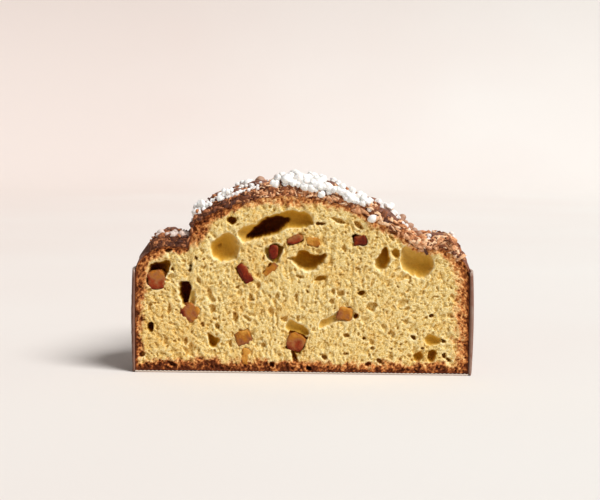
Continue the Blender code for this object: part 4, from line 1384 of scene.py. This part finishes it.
def dustBodies(draw):
    half = sugar["dust"] // 2   # one half of it near the cut, the other all over
    x = np.concatenate([draw.normal(0.010, 0.022, half), draw.uniform(-0.07, 0.08, half)])
    v = np.concatenate([draw.uniform(0.001, 0.03, half), 0.12 * draw.random(half)])
    keep = insideOutline(x, v, planLoop) > np.where(v < 0.01, 0.0008, 0.009)
    x, v = x[keep], v[keep]
    sizes = draw.uniform(*sugar["dustSize"], len(x))
    centres = np.stack([x, cutY + v, glazeTop(x, v) + 0.3 * sizes], axis=1)
    turns = randomTurns(len(x), draw)
    return joinedBodies(*roundBody(2), centres, sizes, draw, sugar["dustDents"], turns)


def buildSugar(spots, rng):
    wild, draw = random.Random(sugar["seed"]), np.random.default_rng(sugar["seed"])
    grains, soil = pearlPlaces(spots, rng, wild, draw)
    base, faces = roundBody(3)
    points, joined = pearlBodies(grains, base, faces, draw)
    dustPoints, dustFaces = dustBodies(draw)
    soiled = np.concatenate([np.repeat(soil, len(base)), np.full(len(dustPoints), sugar["dustSoil"])])
    return meshPiece(
        "pearlSugar", np.concatenate([points, dustPoints]), np.concatenate([joined, dustFaces + len(points)]),
        sugarMaterial(), ["almond_glaze"], "almond_glaze", soiled=soiled,
    )


# candied peel: soft cubes, cut flat at the front
peel = {
    "faceCells": 18,
    "squareness": (2.6, 5.0),
    "uneven": 0.0013,
    "fine": 0.00035,
    "bevel": 0.00045,                       # how far the rim of the cut side falls back, and from where on
    "bevelFrom": 0.78,
    "sunk": 0.00010,                        # how far the cut side lies behind the cut
    "mottleRed": 0.34,                      # what mottling, grain and place on the piece do to the redness; one side is paler, a painted highlight
    "fineRed": 0.12,
    "shadedSideRed": 0.24,
    "mottleDark": 0.25,
    "fineDark": 0.20,
    # painted shade: the sides that go back into the crumb, and one side of the cut face, are darker
    "sunkShade": 0.30,
    "shadedSideDark": 0.30,
    "seed": 7,
}


def peelMaterial():
    made, tree, shader, where = newMaterial("candiedPeel", {
        "Roughness": 0.42,
        "Specular IOR Level": 0.12,
        "Subsurface Weight": 0.20,
        "Subsurface Radius": (0.0040, 0.0010, 0.0002),
    })
    grain = useGroup(tree, bakedGrain, {"Vector": where, "Scale": 1000.0, "Roughen": 1.2})
    redness = attributeOf(tree, "redness")
    red = addRamp(tree, redness, (
        (0.00, (0.64, 0.290, 0.036)),
        (0.30, (0.42, 0.142, 0.013)),
        (0.55, (0.35, 0.120, 0.038)),
        (0.80, (0.29, 0.028, 0.004)),
        (1.00, (0.17, 0.003, 0.0005)),
    ))
    # darkness holds the peel's own darkness and painted shade
    darkAndShaded = mixColours(tree, attributeOf(tree, "darkness"), red, (0.060, 0.006, 0.003))
    # paler where the peel is less red: its pale pith and the painted highlight
    paleAndHighlight = addMath(tree, "SUBTRACT", 0.22, redness, clamp=True)
    speck = addMath(tree, "MULTIPLY_ADD", grain["Speck"], 0.06, paleAndHighlight)
    colour = mixColours(tree, speck, darkAndShaded, (0.66, 0.33, 0.10))
    dressShader(tree, shader, colour, grain["Height"], 0.35, 0.0003)
    return made


def cubeSkin(cells):
    # the points and faces of a cube from -1 to 1, with square cells on each side
    shape = bmesh.new()
    bmesh.ops.create_cube(shape, size=2.0)
    bmesh.ops.subdivide_edges(shape, edges=shape.edges[:], cuts=cells - 1, use_grid_fill=True)
    points = np.array([vertex.co[:] for vertex in shape.verts])
    faces = np.array([[vertex.index for vertex in face.verts] for face in shape.faces])
    shape.free()
    return points, faces


def roughened(local, lump, seedHeights):
    # three reliefs of a body, one for each direction
    x, y, z = local.T
    return np.stack([relief(x + y, z, lump, seedHeight) for seedHeight in seedHeights]).T


def buildPeels():
    base, faces = cubeSkin(peel["faceCells"])
    draw = random.Random(peel["seed"])
    allPoints, allFaces, allRed, allDarkAndShade = [], [], [], []
    for number, (x, z, width, height, deep, tilt, redness, darkness, _) in enumerate(peels):
        turn = Matrix.Rotation(-math.radians(tilt), 3, "Y") @ Matrix.Rotation(math.radians(tilt / 3), 3, "X")
        power = draw.uniform(*peel["squareness"])
        a, b, c = base.T
        fromMiddle = np.maximum(np.abs(a), np.abs(c))
        squeeze = fromMiddle / np.maximum((np.abs(a) ** power + np.abs(c) ** power) ** (1 / power), 1e-9)
        local = np.stack([a * squeeze, b, c * squeeze], axis=1) * np.array([width, deep, height]) / 2
        bent = roughened(local, 0.0040, (number + 0.1, number + 5.1, number + 9.1))
        rough = roughened(local, 0.0012, (number + 2.1, number + 7.1, number + 3.1))
        local = local + peel["uneven"] * bent + peel["fine"] * rough
        points = local @ np.array(turn).T + np.array([x, cutY + 0.3 * deep, z])
        fine = relief(points[:, 0], points[:, 2], 0.0009, number)
        bevel = peel["bevel"] * smoothStep((fromMiddle - peel["bevelFrom"]) / (1 - peel["bevelFrom"])) ** 2
        points[:, 1] = np.maximum(points[:, 1], cutY + peel["sunk"] + 0.0001 * fine + bevel)
        allPoints.append(points)
        allFaces.append(faces + number * len(base))
        mottle = relief(points[:, 0], points[:, 2], 0.0030, number + 3.3)
        # painted highlight and shade: paler towards one side, darker and redder towards the other, mostly the
        # lower one
        around = draw.uniform(-2.6, -0.2)
        slope = a * math.cos(around) + c * math.sin(around)
        red = redness + peel["mottleRed"] * mottle + peel["fineRed"] * fine + peel["shadedSideRed"] * slope
        allRed.append(np.clip(red, 0, 1))
        # painted shade on the sides that go back into the crumb
        behind = smoothStep((points[:, 1] - cutY - 0.0004) / 0.0016)
        darkAndShaded = darkness + peel["sunkShade"] * behind + peel["fineDark"] * fine + peel["mottleDark"] * mottle
        darkAndShaded += peel["shadedSideDark"] * smoothStep((slope - 0.55) / 0.40) - 0.10
        allDarkAndShade.append(np.clip(darkAndShaded, 0, 1))
    names = [f"candied_peel_{number:02d}" for number in range(1, len(peels) + 1)]
    return meshPiece(
        "candiedPeel", np.concatenate(allPoints), np.concatenate(allFaces), peelMaterial(),
        names, "candied_peel", redness=np.concatenate(allRed), darkness=np.concatenate(allDarkAndShade),
    )


# the paper case: a fluted wall with two skins, and a base
case = {
    "pitch": 0.0024,
    "flute": 0.00020,
    "perFlute": 6,
    "rows": 26,
    "innerGap": 0.00020,                    # the inner skin follows the cake this closely
    "innerBulge": 0.25,                     # with these shares of the outer skin's bulge and flutes
    "innerFlute": 0.3,
    "standsAt": 0.00015,
    "crumple": 0.00040,
    "crumpleReach": 0.012,
    "rimTone": 0.5,                         # paler at the rim and at the cut ends of the paper
    "endTone": (0.11, 0.32, 0.7),           # the mean, how much it varies, and the most
    "baseColumns": 260,
    "baseTop": 0.00105,
    "baseLow": 0.00002,
    "baseShares": (0, 0.004, 0.012, 0.05, 0.4, 1.0),    # rows of the base, as shares of the way to the back
    "baseEdge": (1.0, 0.80),
}


def caseMaterial():
    made, tree, shader, where = newMaterial("brownPaper", {"Roughness": 0.72, "Specular IOR Level": 0.3})
    pattern = {"Vector": where, "Scale": 900.0, "Detail": 5.0, "Roughness": 0.75}
    fibres = addNode(tree, "TexNoise", pattern).outputs["Fac"]
    patches = addNode(tree, "TexNoise", {"Vector": where, "Scale": 45.0, "Detail": 4.0}).outputs["Fac"]
    blotches = addMath(tree, "MULTIPLY_ADD", patches, 0.5, 0.5)
    shade = addMath(tree, "MULTIPLY_ADD", fibres, 0.5, blotches)
    colour = addRamp(tree, shade, (
        (0.30, (0.058, 0.018, 0.010)),
        (0.60, (0.125, 0.043, 0.024)),
        (0.85, (0.220, 0.100, 0.064)),
    ))
    colour = mixColours(tree, attributeOf(tree, "cutEdge"), colour, (0.66, 0.55, 0.46))
    dressShader(tree, shader, colour, fibres, 0.3, 0.0002, invert=False)
    return made


def fluteWall():
    # points and faces of the wall, and how pale each point is
    length = float(np.sum(np.linalg.norm(np.diff(planEdge, axis=0), axis=1)))
    columns, levels = round(length / case["pitch"]) * case["perFlute"], case["rows"]
    number = np.arange(columns + 1)
    wave = case["flute"] * np.sin(number / case["perFlute"] * 2 * math.pi)
    along = np.minimum(number, number[::-1])[:, None] * length / columns
    nearEnd = 1 - smoothStep(along[:, 0] / case["crumpleReach"])
    heights = np.arange(levels + 1)[None, :] / levels * caseForm["height"]
    sides = np.where(number * 2 < columns, 0.0, 0.31)[:, None]
    endTone = 1.3 * relief(sides + along, heights, 0.0060, 2.7)
    endTone = endTone + 0.8 * relief(sides + 0.7 + 0 * along, heights, 0.0022, 4.1)
    skins = []
    for outer in (True, False):
        rows = []
        for row in range(levels + 1):
            share = row / levels
            z = case["standsAt"] + (caseForm["height"] - case["standsAt"]) * share
            swell = 4 * share * (1 - share) * caseForm["bulge"]
            if outer:
                crumple = case["crumple"] * (nearEnd * endTone[:, row] - 0.4 * nearEnd)
                offset = caseForm["gap"] + caseForm["paper"] + swell + wave + crumple
            else:
                offset = case["innerGap"] + swell * case["innerBulge"] + wave * case["innerFlute"]
            ring = outline(columns, offset)
            rows.append(np.stack([ring[:, 0], cutY + ring[:, 1], np.full(columns + 1, z)], axis=1))
        skins.append(np.stack(rows if outer else rows[::-1], axis=1))
    wall = np.concatenate(skins, axis=1)
    rows = wall.shape[1]
    faces = gridFaces(columns + 1, rows).tolist()
    for first, step in ((0, 1), (columns * rows, -1)):      # the two ends, facing away from each other
        for row in range(levels):
            upwards = [first + row, first + row + 1, first + rows - 2 - row, first + rows - 1 - row]
            faces.append(upwards[::step])
    edge = np.zeros(wall.shape[:2])
    edge[:, [levels, levels + 1]] = case["rimTone"]
    mean, varies, most = case["endTone"]
    edge[[0, -1], :levels + 1] = np.clip(mean + varies * endTone[[0, -1]], 0, most)
    return wall.reshape(-1, 3), faces, edge.ravel()


def rippledBase():
    # the same for the base, which is rippled at the cut only
    columns, shares = case["baseColumns"], case["baseShares"]
    rim = outline(columns, caseForm["gap"] + caseForm["paper"] * 0.4)
    cutLine = np.linspace(rim[0], rim[-1], columns + 1)
    ripple = case["flute"] * np.sin(cutLine[:, 0] / case["pitch"] * 2 * math.pi)
    rows = []
    for share in shares:
        plan = cutLine + (rim - cutLine) * share
        height = case["baseTop"] + ripple * (1 - share)
        rows.append(np.stack([plan[:, 0], cutY + plan[:, 1], height], axis=1))
    top = np.stack(rows, axis=1)
    low = top.copy()
    low[..., 2] = case["baseLow"] + np.maximum(low[..., 2] - case["baseTop"], 0) * 0.8
    plate = np.concatenate([top[:, ::-1], low], axis=1)
    edge = np.zeros(plate.shape[:2])
    edge[:, [len(shares) - 1, len(shares)]] = case["baseEdge"]
    return plate.reshape(-1, 3), gridFaces(columns + 1, plate.shape[1], flip=True), edge.ravel()


def buildCase():
    points, faces, edge = fluteWall()
    basePoints, baseFaces, baseEdge = rippledBase()
    return meshPiece(
        "paperCase", np.concatenate([points, basePoints]), [*faces, *(baseFaces + len(points)).tolist()],
        caseMaterial(), ["paper_case"], "brown_paper", cutEdge=np.concatenate([edge, baseEdge]),
    )


# backdrop, light and camera
studio = {
    # painted shade: the backdrop is darker towards the left, away from the sun
    "backdropLeftShaded": (0.759, 0.690, 0.646),
    "backdropRight": (0.804, 0.785, 0.748),
    "farShade": (0.915, 0.889, 0.884),       # painted shade: the backdrop is this much darker at its far end
    "sunFrom": (0.72, -0.52, 1.00),
    "sunStrength": 3.7,
    "sunWidth": 31.0,
    "skyStrength": 0.22,
    "skyColour": (1.0, 0.985, 0.97),
    "floorFrom": -3.0,                      # the floor runs back to the bend, and the wall stands behind it
    "bendFrom": 2.2,
    "bendRadius": 0.9,
    "wallHeight": 4.0,
    "halfWidth": 4.0,
}
camera = {
    "azimuth": 1.5,
    "elevation": 5.0,
    "roll": 0.4,
    "distance": 0.833,
    "lens": 85.0,
    "sensor": 36.0,
    "lookAt": (-0.0012, cutY, 0.0737),
}


def backdropMaterial():
    made, tree, shader, where = newMaterial("backdropPaper", {"Roughness": 0.95, "Specular IOR Level": 0.05})
    place = addNode(tree, "SeparateXYZ", {0: where}).outputs
    mottle = addNode(tree, "TexNoise", {"Vector": where, "Scale": 2.0, "Detail": 2.0}).outputs["Fac"]
    # painted shade, darker towards the left and the far end
    side = addMath(tree, "MULTIPLY_ADD", place["X"], 0.9, mottle)
    colour = mixColours(tree, side, studio["backdropLeftShaded"], studio["backdropRight"])
    away = addNode(tree, "MapRange", {0: place["Y"], 1: 0.2, 2: 2.7}).outputs[0]
    colour = mixColours(tree, away, colour, studio["farShade"], "MULTIPLY")
    tree.links.new(colour, shader.inputs["Base Color"])
    return made


def buildStage():
    bend, radius, wide = studio["bendFrom"], studio["bendRadius"], studio["halfWidth"]
    profile = [(studio["floorFrom"], 0.0), (bend, 0.0)]
    for step in range(1, 13):
        angle = step / 12 * math.pi / 2
        profile.append((bend + radius * math.sin(angle), radius * (1 - math.cos(angle))))
    profile.append((bend + radius, studio["wallHeight"]))
    points = [(x, y, z) for x in (-wide, wide) for y, z in profile]
    count = len(profile)
    mesh = bpy.data.meshes.new("backdrop")
    mesh.from_pydata(points, [], [(i, i + count, i + count + 1, i + 1) for i in range(count - 1)])
    mesh.shade_smooth()
    mesh.materials.append(backdropMaterial())
    floor = bpy.data.objects.new("backdrop", mesh)
    bpy.context.scene.collection.objects.link(floor)


def buildLights():
    data = bpy.data.lights.new("key", "SUN")
    data.energy = studio["sunStrength"]
    data.angle = math.radians(studio["sunWidth"])
    key = bpy.data.objects.new("key", data)
    key.rotation_euler = Vector(studio["sunFrom"]).to_track_quat("Z", "Y").to_euler()
    bpy.context.scene.collection.objects.link(key)
    world = bpy.data.worlds.new("studio")
    world.use_nodes = True
    sky = world.node_tree.nodes["Background"]
    sky.inputs["Color"].default_value = (*studio["skyColour"], 1.0)
    sky.inputs["Strength"].default_value = studio["skyStrength"]
    bpy.context.scene.world = world
    bpy.context.scene.view_settings.view_transform = "Standard"


def buildCamera():
    data = bpy.data.cameras.new("camera")
    data.lens = camera["lens"]
    data.sensor_width = camera["sensor"]
    eye = bpy.data.objects.new("camera", data)
    around, above = math.radians(camera["azimuth"]), math.radians(camera["elevation"])
    back = Vector((math.sin(around) * math.cos(above), -math.cos(around) * math.cos(above), math.sin(above)))
    eye.location = Vector(camera["lookAt"]) + back * camera["distance"]
    aim = (-back).to_track_quat("-Z", "Y").to_matrix()
    eye.rotation_euler = (aim @ Matrix.Rotation(math.radians(camera["roll"]), 3, "Z")).to_euler()
    bpy.context.scene.collection.objects.link(eye)
    bpy.context.scene.camera = eye


buildCrumb()
print("crumb")
buildCrust()
print("crust")
buildGlaze()
print("glaze")
draws = random.Random(almond["seed"])
spots = almondSpots(draws)
buildAlmonds(spots)
print("almonds")
buildFlakes()
print("glaze crumbs")
buildSugar(spots, draws)
print("pearl sugar")
buildPeels()
print("candied peel")
buildCase()
print("paper case")
buildStage()
buildLights()
buildCamera()
print("stage, lights and camera")
